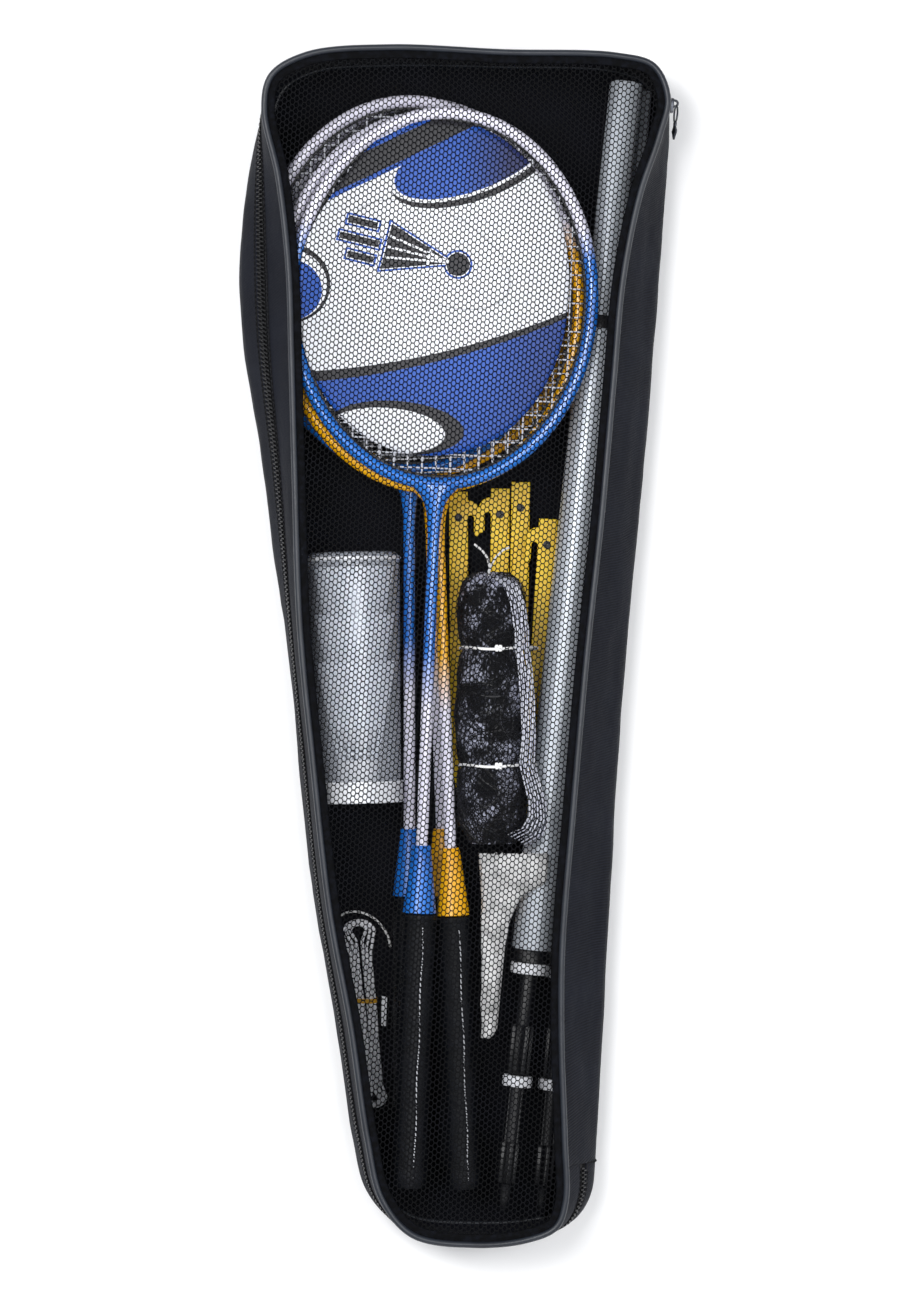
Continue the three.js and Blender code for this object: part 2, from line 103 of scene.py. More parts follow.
def make_studio():
    make_light("high_left", (-0.6, 0.4, 2.1), (0, 0, 0), (0.7, 0.9), 31)
    make_light("high_right", (0.65, -0.1, 2.1), (0, 0, 0), (0.6, 0.9), 15)
    make_light("key", (-1.3, 0.9, 1.25), (0, 0, 0), (0.9, 1.4), 9)
    make_light("fill", (1.4, 0.1, 1.1), (0, 0, 0), (0.7, 1.6), 6)
    make_light("low", (0.1, -1.7, 1.0), (0, 0, 0), (1.4, 0.6), 6)
    world = bpy.data.worlds.new("studio")
    world.use_nodes = True
    background = world.node_tree.nodes["Background"]
    background.inputs["Color"].default_value = (0.93, 0.95, 1.0, 1)
    background.inputs["Strength"].default_value = 0.5
    bpy.context.scene.world = world
    bpy.context.scene.view_settings.view_transform = "Standard"


# ---------------------------------------------------------------- shader building
class Field:
    """A number that varies over a surface: arithmetic on it makes Math nodes."""

    def __init__(self, tree, socket):
        self.tree = tree
        self.socket = socket

    def _op(self, operation, *others):
        node = self.tree.nodes.new("ShaderNodeMath")
        node.operation = operation
        for slot, value in zip(node.inputs, (self, *others)):
            if isinstance(value, Field):
                self.tree.links.new(value.socket, slot)
            else:
                slot.default_value = value
        return Field(self.tree, node.outputs[0])

    def __add__(self, other):
        return self._op("ADD", other)

    def __sub__(self, other):
        return self._op("SUBTRACT", other)

    def __mul__(self, other):
        return self._op("MULTIPLY", other)

    def __truediv__(self, other):
        return self._op("DIVIDE", other)

    def __neg__(self):
        return self._op("MULTIPLY", -1.0)

    def min(self, other):
        return self._op("MINIMUM", other)

    def max(self, other):
        return self._op("MAXIMUM", other)

    def abs(self):
        return self._op("ABSOLUTE")

    def sqrt(self):
        return self._op("SQRT")

    def clamp(self):
        return self.max(0.0).min(1.0)


def linear(red, green, blue):
    """A colour from its screen values, 0 to 255."""
    return tuple((c / 255) ** 2.2 for c in (red, green, blue))


class Paint:
    """A material under construction, with its object coordinates in millimetres."""

    def __init__(self, name, colour, roughness, **sockets):
        self.material = bpy.data.materials.new(name)
        self.material.use_nodes = True
        self.tree = self.material.node_tree
        self.surface = self.tree.nodes["Principled BSDF"]
        self.colour = (*colour, 1.0)
        self.surface.inputs["Base Color"].default_value = self.colour
        self.surface.inputs["Roughness"].default_value = roughness
        for socket, value in sockets.items():
            self.surface.inputs[socket.replace("_", " ")].default_value = value
        coordinates = self.tree.nodes.new("ShaderNodeTexCoord")
        scaled = self.tree.nodes.new("ShaderNodeVectorMath")
        scaled.operation = "SCALE"
        scaled.inputs["Scale"].default_value = 1 / MM
        self.tree.links.new(coordinates.outputs["Object"], scaled.inputs[0])
        self.place = scaled.outputs["Vector"]
        self.colour_link = None
        self.bump_link = None

    def axis(self, name):
        split = self.tree.nodes.new("ShaderNodeSeparateXYZ")
        self.tree.links.new(self.place, split.inputs[0])
        return Field(self.tree, split.outputs[name])

    def stretched(self, stretch):
        mapping = self.tree.nodes.new("ShaderNodeMapping")
        mapping.inputs["Scale"].default_value = stretch
        self.tree.links.new(self.place, mapping.inputs["Vector"])
        return mapping.outputs["Vector"]

    def noise(self, size, detail=2.0, stretch=(1, 1, 1)):
        """Noise whose features are about size millimetres across."""
        node = self.tree.nodes.new("ShaderNodeTexNoise")
        node.inputs["Scale"].default_value = 1.0 / size
        node.inputs["Detail"].default_value = detail
        self.tree.links.new(self.stretched(stretch), node.inputs["Vector"])
        return Field(self.tree, node.outputs[0])

    def waves(self, pitch, direction, turn=0.0):
        """Ridges a pitch apart in millimetres, along DIAGONAL or an axis."""
        node = self.tree.nodes.new("ShaderNodeTexWave")
        node.bands_direction = direction
        node.inputs["Scale"].default_value = 2 * math.pi / (20 * pitch)
        node.inputs["Distortion"].default_value = turn
        self.tree.links.new(self.place, node.inputs["Vector"])
        return Field(self.tree, node.outputs["Color"])

    def tint(self, mask, colour):
        """Lays another colour over what is there, where the mask is 1."""
        mix = self.tree.nodes.new("ShaderNodeMix")
        mix.data_type = "RGBA"
        if self.colour_link is None:
            mix.inputs["A"].default_value = self.colour
        else:
            self.tree.links.new(self.colour_link, mix.inputs["A"])
        mix.inputs["B"].default_value = (*colour, 1.0)
        self.tree.links.new(mask.socket, mix.inputs["Factor"])
        self.colour_link = mix.outputs["Result"]
        self.tree.links.new(self.colour_link, self.surface.inputs["Base Color"])
        return self

    def mottle(self, size, colour, amount=1.0):
        return self.tint(((self.noise(size, 3.0) - 0.42) * 3.2 * amount).clamp(), colour)

    def bump(self, height, depth):
        """Adds relief: height runs from 0 to 1 and depth is in millimetres."""
        node = self.tree.nodes.new("ShaderNodeBump")
        node.inputs["Strength"].default_value = 1.0
        node.inputs["Distance"].default_value = depth * MM
        self.tree.links.new(height.socket, node.inputs["Height"])
        if self.bump_link is not None:
            self.tree.links.new(self.bump_link, node.inputs["Normal"])
        self.bump_link = node.outputs["Normal"]
        self.tree.links.new(self.bump_link, self.surface.inputs["Normal"])
        return self

    def vary_roughness(self, size, low, high):
        span = self.noise(size, 3.0) * (high - low) + low
        self.tree.links.new(span.socket, self.surface.inputs["Roughness"])
        return self

    def see_through(self, alpha):
        self.surface.inputs["Alpha"].default_value = alpha
        return self


# ---------------------------------------------------------------- materials
BLUE = linear(34, 112, 205)
DEEP_BLUE = linear(20, 62, 140)
YELLOW = linear(246, 178, 8)
DEEP_YELLOW = linear(205, 138, 6)
PEARL = linear(226, 224, 240)
CHARCOAL = linear(36, 36, 42)
CARD_BLUE = linear(16, 78, 172)
NAVY = linear(28, 40, 92)
WHITE = linear(236, 238, 244)


def twill(name, colour, light):
    paint = Paint(name, colour, 0.7, Sheen_Weight=0.03, Sheen_Roughness=0.4)
    paint.surface.inputs["Specular IOR Level"].default_value = 0.1
    paint.mottle(38.0, light, 0.4)
    paint.tint(paint.waves(0.9, "DIAGONAL", 0.4) * 0.6, light)
    paint.bump(paint.waves(0.9, "DIAGONAL", 0.4), 0.16)
    paint.bump(paint.noise(14.0, 4.0), 0.9)
    return paint.material


def make_materials():
    made = {}
    made["fabric"] = twill("bag twill", linear(15, 16, 22), linear(34, 37, 46))
    # the inside floor is the bag twill made darker: painted shade of the deep inside of the bag
    made["lining"] = twill("bag lining", linear(8, 9, 14), linear(20, 22, 30))
    thread = Paint("mesh thread", linear(6, 7, 10), 0.6)
    thread.surface.inputs["Specular IOR Level"].default_value = 0.08
    thread.mottle(30.0, linear(16, 17, 23), 0.6)
    made["mesh"] = thread.bump(thread.noise(0.25), 0.06).material
    tape = Paint("binding tape", linear(7, 8, 11), 0.75)
    tape.surface.inputs["Specular IOR Level"].default_value = 0.1
    made["binding"] = tape.bump(tape.waves(0.7, "Y"), 0.12).mottle(3.0, linear(22, 24, 31), 0.7).material
    cord = Paint("piping cover", linear(36, 40, 47), 0.4)
    cord.surface.inputs["Specular IOR Level"].default_value = 0.4
    cord.mottle(22.0, linear(22, 25, 31), 0.7)
    made["piping"] = cord.bump(cord.noise(1.2), 0.12).material
    zip_tape = Paint("zip tape", linear(9, 10, 13), 0.7)
    zip_tape.surface.inputs["Specular IOR Level"].default_value = 0.16
    made["zip_tape"] = zip_tape.bump(zip_tape.noise(0.6, 3.0), 0.15).material
    coil = Paint("zip coil", linear(14, 15, 18), 0.34)
    coil.surface.inputs["Specular IOR Level"].default_value = 0.35
    made["zip_coil"] = coil.vary_roughness(3.0, 0.22, 0.45).material
    metal = Paint("gunmetal lacquer", linear(62, 64, 70), 0.3, Metallic=0.85)
    metal.mottle(2.5, linear(128, 130, 136), 0.35)
    made["zip_metal"] = metal.bump(metal.noise(1.5, 3.0), 0.05).material

    for name, colour, deep in (("blue", BLUE, DEEP_BLUE), ("yellow", YELLOW, DEEP_YELLOW)):
        enamel = Paint(f"{name} fading enamel", colour, 0.24, Coat_Weight=0.6, Coat_Roughness=0.1)
        along = enamel.axis("Y")
        speckle = (enamel.noise(0.7, 2.0) - 0.5) * 14.0
        enamel.mottle(60.0, deep, 0.35)
        enamel.tint(((along + speckle - 26.0) / 20.0).clamp(), PEARL)
        enamel.tint(((-along + speckle - 216.0) / 34.0).clamp(), PEARL)
        made[f"{name}_enamel"] = enamel.bump(enamel.noise(9.0, 2.0), 0.05).material
        moulded = Paint(f"{name} moulded plastic", colour, 0.3)
        moulded.mottle(16.0, deep, 0.4).vary_roughness(6.0, 0.24, 0.42)
        made[f"{name}_cone"] = moulded.bump(moulded.noise(4.0, 3.0), 0.06).material

    string = Paint("racket string", linear(226, 228, 236), 0.3)
    made["string"] = string.bump(string.noise(0.5), 0.04).material
    grommet = Paint("grommet nylon", linear(28, 29, 34), 0.45)
    made["grommet"] = grommet.vary_roughness(2.0, 0.35, 0.6).material
    grip = Paint("grip sleeve", linear(14, 16, 20), 0.5)
    grip.surface.inputs["Specular IOR Level"].default_value = 0.18
    grip.mottle(7.0, linear(28, 30, 36), 0.6).vary_roughness(5.0, 0.36, 0.62)
    grip.bump(grip.noise(1.1, 3.0), 0.3)
    made["grip"] = grip.bump(grip.noise(7.0, 3.0), 0.6).material
    stitch = Paint("stitch thread", linear(196, 198, 204), 0.6)
    made["stitch"] = stitch.bump(stitch.waves(0.4, "Y"), 0.05).material

    made["card"] = card_material()

    clear = Paint("clear plastic", linear(226, 232, 244), 0.12).see_through(0.2)
    made["clear"] = clear.bump(clear.noise(18.0, 3.0), 0.8).material
    white = Paint("white plastic", linear(226, 228, 233), 0.36)
    white.mottle(12.0, linear(196, 199, 207), 0.5)
    made["white"] = white.bump(white.noise(3.0), 0.05).material
    nylon = Paint("feather nylon", linear(232, 234, 240), 0.4, Subsurface_Weight=0.15)
    made["nylon"] = nylon.mottle(8.0, linear(200, 204, 214), 0.5).material
    foam = Paint("cork foam", linear(228, 229, 232), 0.55)
    made["foam"] = foam.bump(foam.noise(0.9, 3.0), 0.08).mottle(5, linear(205, 206, 211), 0.5).material

    core = Paint("folded net", linear(10, 11, 16), 0.7)
    core.surface.inputs["Specular IOR Level"].default_value = 0.25
    glint = (core.noise(16.0, 2.0) - 0.5) * 7.0 + (core.noise(1.5, 3.0, (1, 0.5, 1)) - 0.5) * 5.0
    core.tint(glint.clamp(), linear(170, 173, 192))
    made["net_core"] = core.bump(core.noise(1.6, 4.0), 1.4).material
    twine = Paint("net twine", linear(12, 13, 18), 0.45)
    made["twine"] = twine.mottle(5.0, linear(44, 46, 56), 0.5).material
    webbing = Paint("net head tape", linear(228, 230, 240), 0.7, Sheen_Weight=0.15)
    webbing.mottle(5.0, linear(176, 178, 198), 0.7)
    made["net_tape"] = webbing.bump(webbing.waves(0.8, "Z", 0.5), 0.15).material
    tie = Paint("tie string", linear(228, 228, 228), 0.6)
    made["tie"] = tie.bump(tie.waves(0.9, "DIAGONAL"), 0.2).material
    rope = Paint("braided rope", linear(244, 245, 250), 0.6)
    rope.tint(((rope.noise(0.8, 2.0) - 0.5) * 4.0).clamp(), linear(206, 208, 216))
    made["rope"] = rope.bump(rope.waves(0.9, "DIAGONAL", 1.5), 0.25).material
    band = Paint("rubber band", linear(216, 164, 46), 0.45)
    made["band"] = band.mottle(2.0, linear(184, 130, 30), 0.5).material

    peg = Paint("peg plastic", linear(250, 208, 18), 0.34, Subsurface_Weight=0.05)
    peg.mottle(24.0, linear(228, 176, 10), 0.6).vary_roughness(9.0, 0.26, 0.46)
    made["peg"] = peg.bump(peg.noise(3.0, 3.0), 0.08).material
    tube = Paint("satin pole metal", linear(198, 204, 212), 0.38, Metallic=0.35)
    tube.mottle(30.0, linear(176, 182, 190), 0.5).vary_roughness(14.0, 0.3, 0.46)
    made["pole"] = tube.bump(tube.noise(2.0, 2.0, (1, 0.08, 1)), 0.04).material
    plug = Paint("black moulded plastic", linear(13, 14, 18), 0.36)
    plug.mottle(6.0, linear(26, 27, 33), 0.5).vary_roughness(4.0, 0.3, 0.55)
    made["plug"] = plug.bump(plug.noise(0.8, 3.0), 0.08).material
    film = Paint("crumpled film", linear(236, 236, 236), 0.26).see_through(0.82)
    film.mottle(9.0, linear(158, 158, 158), 0.8)
    made["film"] = film.bump(film.noise(5.0, 5.0), 1.6).material
    made["stitch_dark"] = Paint("dark stitch thread", linear(58, 62, 70), 0.6).material
    return made


CARD_HALF = (82.5, 102.0)
EDGE_SOFTNESS = 0.25


def card_material():
    """Printed card: bands, swooshes and a plain shuttlecock, each a shape in card coordinates."""
    paint = Paint("printed card", WHITE, 0.55, Coat_Weight=0.08, Coat_Roughness=0.3)
    x, y = paint.axis("X"), paint.axis("Y")

    def turned(cx, cy, degrees):
        c, s = math.cos(math.radians(degrees)), math.sin(math.radians(degrees))
        dx, dy = x - cx, y - cy
        return dx * c + dy * s, dy * c - dx * s

    def inside(distance):
        return (distance / -EDGE_SOFTNESS + 0.5).clamp()

    def ellipse(cx, cy, a, b, degrees=0.0):
        u, v = turned(cx, cy, degrees)
        return (((u / a) * (u / a) + (v / b) * (v / b)).sqrt() - 1.0) * min(a, b)

    def bar(cx, cy, half_long, half_wide, degrees):
        u, v = turned(cx, cy, degrees)
        return (u.abs() - half_long).max(v.abs() - half_wide)

    # a swoosh at the upper right, that fades to navy, with its outline
    swoosh = ellipse(20.0, 79.0, 49.0, 19.5, 22.0)
    paint.tint(inside((ellipse(22.0, 77.5, 53.5, 23.5, 22.0)).max(y * -1.0 + 40.0)), CHARCOAL)
    paint.tint(inside(ellipse(20.0, 79.5, 52.5, 22.0, 22.0)), WHITE)
    paint.tint(inside(swoosh), CARD_BLUE)
    paint.tint(inside(swoosh) * ((x - 14.0) / 30.0).clamp(), NAVY)
    # a charcoal band with blue edges across the upper left
    _, across = turned(-29.3, 81.0, 27.5)
    paint.tint(inside(across.abs() - 10.2), CARD_BLUE)
    paint.tint(inside((across + 0.3).abs() - 7.2), CHARCOAL)
    paint.tint(inside(across * -1.0 + 10.2), WHITE)
    # a half ellipse at the left edge
    paint.tint(inside(ellipse(-86.0, -1.0, 23.5, 23.5, 8.0)), CHARCOAL)
    paint.tint(inside(ellipse(-87.5, -2.0, 23.0, 21.5, 8.0)), WHITE)
    paint.tint(inside(ellipse(-87.0, -5.0, 19.5, 18.5, 8.0)), CARD_BLUE)
    # the blue field below a charcoal curve
    curve = y - (x * x * 0.00115 + x * 0.26 - 40.7)
    paint.tint(inside(curve), CHARCOAL)
    field = curve + 5.2 - x * 0.018
    paint.tint(inside(field), CARD_BLUE)
    paint.tint(inside(field) * ((x - 30.0) / 38.0).clamp(), DEEP_BLUE)
    paint.tint(inside(ellipse(-19.5, -86.0, 41.5, 16.5, -2.0)), CHARCOAL)
    paint.tint(inside(ellipse(-25.0, -88.0, 35.5, 14.0, -2.0)), WHITE)
    # a plain shuttlecock with three speed bars, dark with a blue outline
    for grown, colour in ((1.8, CARD_BLUE), (0.6, WHITE), (0.0, CHARCOAL)):
        u, v = turned(-6.0, 19.0, -12.0)
        skirt = (v.abs() - 6.0 - u * -0.34).max((u + 4.0).abs() - 20.0)
        paint.tint(inside(skirt - grown), colour)
        nose_u, nose_v = turned(14.5, 14.6, -12.0)
        nose = (nose_u * nose_u + nose_v * nose_v).sqrt() - 7.0
        paint.tint(inside(nose - grown), colour)
        for cx, cy, half in ((-44, 38, 9), (-46, 27.5, 12), (-45, 17, 8)):
            paint.tint(inside(bar(cx, cy, half, 2.0, -12.0) - grown), colour)
    u, v = turned(-6.0, 19.0, -12.0)
    for slope in (-0.17, 0.0, 0.17):
        rib = ((v - (u - 16.0) * slope).abs() - 0.7).max((u + 4.0).abs() - 19.0)
        paint.tint(inside(rib), WHITE)
    paint.tint(inside((u - 3.0).abs() - 0.8) * inside(v.abs() - 5.5), WHITE)
    # thin grey arcs behind
    ring = ellipse(-2.0, 20.0, 52.0, 27.0, -24.0).abs() - 0.35
    paint.tint(inside(ring) * inside(bar(-6.0, 20.0, 30.0, 17.0, -12.0) * -1.0) * 0.35, CHARCOAL)
    paint.bump(paint.noise(30.0, 2.0), 0.5)
    return paint.material


# ---------------------------------------------------------------- mesh building
def piece(name, points, faces, material, slot, body="bag", smooth_angle=40, place=None):
    """An object from points in millimetres, with faces smooth except across sharp angles."""
    mesh = bpy.data.meshes.new(name)
    mesh.from_pydata((np.asarray(points, float).reshape(-1, 3) * MM).tolist(), [], faces)
    mesh.materials.append(material)
    mesh.shade_smooth()
    mesh.set_sharp_from_angle(angle=math.radians(smooth_angle))
    obj = bpy.data.objects.new(name, mesh)
    bpy.context.collection.objects.link(obj)
    if place is not None:
        obj.matrix_world = place
    if body is not None:
        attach(obj, body)
    return obj


class Build:
    """Points and faces gathered from several shapes."""

    def __init__(self):
        self.points = []
        self.faces = []

    def add(self, points, faces):
        base = len(self.points)
        self.points.extend([tuple(map(float, p)) for p in points])
        self.faces.extend([tuple(base + i for i in face) for face in faces])
        return self

    def rows(self, rows, round_rows=True, rows_meet=False, capped=False):
        """Joins rows of points. Each row may close on itself, and the last may meet the first."""
        wide, count = len(rows[0]), len(rows)
        faces = []
        for r in range(count if rows_meet else count - 1):
            below, above = r * wide, ((r + 1) % count) * wide
            for i in range(wide if round_rows else wide - 1):
                j = (i + 1) % wide
                faces.append((below + i, below + j, above + j, above + i))
        if capped:
            faces.append(tuple(reversed(range(wide))))
            faces.append(tuple((count - 1) * wide + i for i in range(wide)))
        return self.add([p for row in rows for p in row], faces)

    def tube(self, path, radius, sides=10, closed=False, flat=1.0):
        """A round tube along a path; radius may be a list, and flat squeezes it in Z."""
        path = [Vector(p) for p in path]
        count = len(path)
        radii = radius if isinstance(radius, (list, tuple)) else [radius] * count
        rows = []
        side = None
        for i, point in enumerate(path):
            ahead = path[(i + 1) % count] if closed or i < count - 1 else point
            behind = path[i - 1] if closed or i > 0 else point
            way = (ahead - behind).normalized()
            if side is None:
                side = way.cross(Vector((0, 0, 1)))
                if side.length < 0.2:
                    side = way.cross(Vector((1, 0, 0)))
            side = (side - way * side.dot(way)).normalized()
            up = side.cross(way)
            ring = []
            for k in range(sides):
                turn = 2 * math.pi * k / sides
                ring.append(point + radii[i] * (math.cos(turn) * side + flat * math.sin(turn) * up))
            rows.append(ring)
        return self.rows(rows, rows_meet=closed, capped=not closed)

    def lathe(self, profile, segments=40):
        """Turns a profile of (radius, y) about the Y axis. Ends off the axis stay open."""
        rows = []
        for radius, y in profile:
            row = []
            for k in range(segments):
                angle = 2 * math.pi * k / segments
                row.append((radius * math.cos(angle), y, radius * math.sin(angle)))
            rows.append(row)
        return self.rows(rows[::-1])

    def box(self, centre, half, turn=0.0):
        c, s = math.cos(turn), math.sin(turn)
        points = []
        for dx, dy, dz in ((x, y, z) for z in (-1, 1) for y in (-1, 1) for x in (-1, 1)):
            lx, ly = dx * half[0], dy * half[1]
            points.append((centre[0] + lx * c - ly * s, centre[1] + lx * s + ly * c,
                           centre[2] + dz * half[2]))
        faces = [(0, 2, 3, 1), (4, 5, 7, 6), (0, 1, 5, 4), (2, 6, 7, 3), (0, 4, 6, 2), (1, 3, 7, 5)]
        return self.add(points, faces)

    def prism(self, outline, low, high):
        count = len(outline)
        points = [(x, y, low) for x, y in outline] + [(x, y, high) for x, y in outline]
        faces = [(i, (i + 1) % count, count + (i + 1) % count, count + i) for i in range(count)]
        faces += [tuple(reversed(range(count))), tuple(range(count, 2 * count))]
        return self.add(points, faces)

    def make(self, name, material, slot, **options):
        return piece(name, self.points, self.faces, material, slot, **options)


def bevel(obj, width, segments=2):
    modifier = obj.modifiers.new("bevel", "BEVEL")
    modifier.width = width * MM
    modifier.segments = segments
    modifier.limit_method = "ANGLE"
    modifier.angle_limit = math.radians(35)
    modifier.harden_normals = False
    return obj


def thicken(obj, thickness, offset=-1.0):
    modifier = obj.modifiers.new("thickness", "SOLIDIFY")
    modifier.thickness = thickness * MM
    modifier.offset = offset
    return obj


def oval(a, b, count):
    turns = [2 * math.pi * i / count for i in range(count)]
    return [(a * math.cos(t), b * math.sin(t)) for t in turns]


def hoop(radius, y, count):
    """A ring of points about the Y axis."""
    turns = [2 * math.pi * k / count for k in range(count)]
    return [(radius * math.cos(t), y, radius * math.sin(t)) for t in turns]


def along(origin, way):
    """The placement that puts a piece's origin at a point and its Y axis along a direction."""
    turn = Vector((0, 1, 0)).rotation_difference(way).to_matrix().to_4x4()
    return Matrix.Translation(Vector(origin) * MM) @ turn


# ---------------------------------------------------------------- the bag's outline
# Front edge (x, y) and widest line (x, y), anticlockwise from the middle of the narrow end.
STATIONS = [
    (11, -365, 11, -363), (44, -362, 48, -361), (62, -354, 72, -354), (68, -338, 84, -338),
    (67.5, -300, 87, -300), (65.5, -240, 90.5, -235), (66, -184, 94, -170), (73, -96, 99, -90),
    (81, -5, 106, 0), (90, 79, 114, 85), (97, 158, 121, 165), (103, 222, 126, 228),
    (113, 272, 129, 276), (125, 308, 131, 312), (130, 331, 130, 333), (121, 351, 120, 351),
    (98, 357.5, 98, 359.5), (30, 359.5, 30, 362), (-40, 362.5, -40, 363), (-90, 358, -88, 359),
    (-112, 345, -110, 346), (-116.5, 324, -119, 322), (-108, 283, -128, 282),
    (-102, 230, -132, 240), (-100, 172, -130, 190), (-98, 100, -117, 105), (-95, 12, -105, 15),
    (-87, -72, -96, -72), (-77, -161, -86, -161), (-64, -232, -74, -232), (-54, -300, -63, -300),
    (-45, -337, -52, -338), (-26, -359, -30, -358),
]
BACK_INSET = 5.0
WIDEST_Z = 30.0
FRONT_Z = 63.0
ZIP_FROM = 13.6
ZIP_TO = 36.6
ZIP_Z = 45.0


def loop_point(points, station):
    """Centripetal Catmull-Rom through a closed loop, as the CAD model draws it."""
    count = len(points)
    first = math.floor(station)
    share = station - first
    p = [np.array(points[(first + k) % count], float) for k in (-1, 0, 1, 2)]
    gaps = [max(np.linalg.norm(p[k + 1] - p[k]) ** 0.5, 1e-4) for k in range(3)]
    leave = (p[1] - p[0]) / gaps[0] - (p[2] - p[0]) / (gaps[0] + gaps[1]) + (p[2] - p[1]) / gaps[1]
    reach = (p[2] - p[1]) / gaps[1] - (p[3] - p[1]) / (gaps[1] + gaps[2]) + (p[3] - p[2]) / gaps[2]
    leave, reach = leave * gaps[1], reach * gaps[1]
    square = -3 * p[1] + 3 * p[2] - 2 * leave - reach
    cube = 2 * p[1] - 2 * p[2] + leave + reach
    return p[1] + share * (leave + share * (square + share * cube))


FRONT_LINE = [row[:2] for row in STATIONS]
WIDEST_LINE = [row[2:] for row in STATIONS]


def skin(station, z, inset=0.0):
    """A point on the bag's outside at a station and a height, moved inwards by inset."""
    share = min(max((z - WIDEST_Z) / (FRONT_Z - WIDEST_Z), 0.0), 1.0)
    low = min(max(1 - z / WIDEST_Z, 0.0), 1.0)

    def place(s):
        return loop_point(WIDEST_LINE, s) * (1 - share) + loop_point(FRONT_LINE, s) * share

    along = place(station + 0.05) - place(station - 0.05)
    along /= np.linalg.norm(along)
    x, y = place(station) + np.array((-along[1], along[0])) * (inset + BACK_INSET * low * low)
    return (x, y, z)


def stations(start, end, per_station):
    steps = round((end - start) * per_station)
    return [start + (end - start) * i / steps for i in range(steps + 1)]


ALL_ROUND = stations(0, len(STATIONS) - 1 / 10, 10)


def even_line(start, end, z, inset, pitch):
    """Stations an even distance apart along the skin, each with its point and direction."""
    marks = stations(start, end, 40)
    fine = [Vector(skin(s, z, inset)) for s in marks]
    places, want, run = [], 0.0, 0.0
    for s, a, b in zip(marks, fine, fine[1:]):
        step = (b - a).length
        while want <= run + step:
            share = (want - run) / step
            places.append((s + share * (marks[1] - marks[0]), a.lerp(b, share), (b - a).normalized()))
            want += pitch
        run += step
    return places


# ---------------------------------------------------------------- the bag
def fold(station, z):
    """How far the soft wall stands out at a place, in millimetres."""
    x, y, _ = skin(station, z)
    wide = noise.noise(Vector((x * 0.018, y * 0.012, z * 0.05)))
    fine = noise.noise(Vector((x * 0.05, y * 0.05, z * 0.13 + 7)))
    return max(wide, -0.25) * 2.2 + max(fine, -0.4) * 0.7


def wall(name, columns, heights, material, slot, body, sag=1.0, closed=False):
    rows = []
    for station in columns:
        row = []
        for z in heights:
            tuck = 2.6 * max(1 - z / 5, 0) ** 2
            middle = math.sin(math.pi * (z - heights[0]) / (heights[-1] - heights[0]))
            row.append(skin(station, z, tuck - sag * middle * fold(station, z)))
        rows.append(row)
    build = Build().rows([row[::-1] for row in rows], round_rows=False, rows_meet=closed)
    obj = build.make(name, material, slot, body=body, smooth_angle=60)
    return thicken(obj, 1.0)


def seam_stitches(build, start, end, z, inset, pitch=3.4):
    """Short stitches that lie along the skin."""
    for _, place, way in even_line(start, end, z, inset, pitch):
        ends = [place - way * pitch * 0.32, place + way * pitch * 0.32]
        middle = place + Vector((0, 0, 0.18))
        build.tube([ends[0], middle, ends[1]], [0.12, 0.24, 0.12], sides=5)


def make_bag(paints):
    fabric = paints["fabric"]
    zip_columns = stations(ZIP_FROM, ZIP_TO, 10)
    hinge_columns = stations(ZIP_TO - len(STATIONS), ZIP_FROM, 10)
    rear_heights = [1.8, 2.6, 3.6, 5, 8, 12, 17, 22, 27, 32, 36, 39, 41, 42.2]
    rear = wall("gusset_rear", zip_columns, rear_heights, fabric, "bag_fabric", "bag")
    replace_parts(rear, "rear_gusset")
    front_heights = [48.2, 49.5, 51.5, 54, 57, 60, 62, 63.6]
    front = wall("gusset_front", zip_columns, front_heights, fabric, "bag_fabric", "front_flap", 0.6)
    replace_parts(front, "front_gusset")
    hinge_heights = rear_heights[:-1] + [43, 45, 46.5, 48, 49.5, 51, 53, 55, 57, 60, 62, 63.6]
    side = wall("gusset_hinge_side", hinge_columns, hinge_heights, fabric, "bag_fabric", None, 0.7)
    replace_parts(side, "hinge_strip")
    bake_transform(side)

    back = frame["nodes"]["back_panel"]
    # the back panel takes the darker twill, painted shade inside the bag
    back.data.materials.clear()
    back.data.materials.append(paints["lining"])

    seam = Build()
    seam.tube([skin(s, 2.9, 0.4) for s in ALL_ROUND], 1.7, sides=8, closed=True)
    seam.make("rear_piping", paints["piping"], "piping")
    for name, station in (("side_seam_low", ZIP_TO - len(STATIONS)), ("side_seam_high", ZIP_FROM)):
        ridge = Build()
        ridge.tube([skin(station, z, 0.1) for z in range(4, 43, 3)], 0.6, sides=8)
        ridge.make(name, paints["binding"], "bag_fabric")


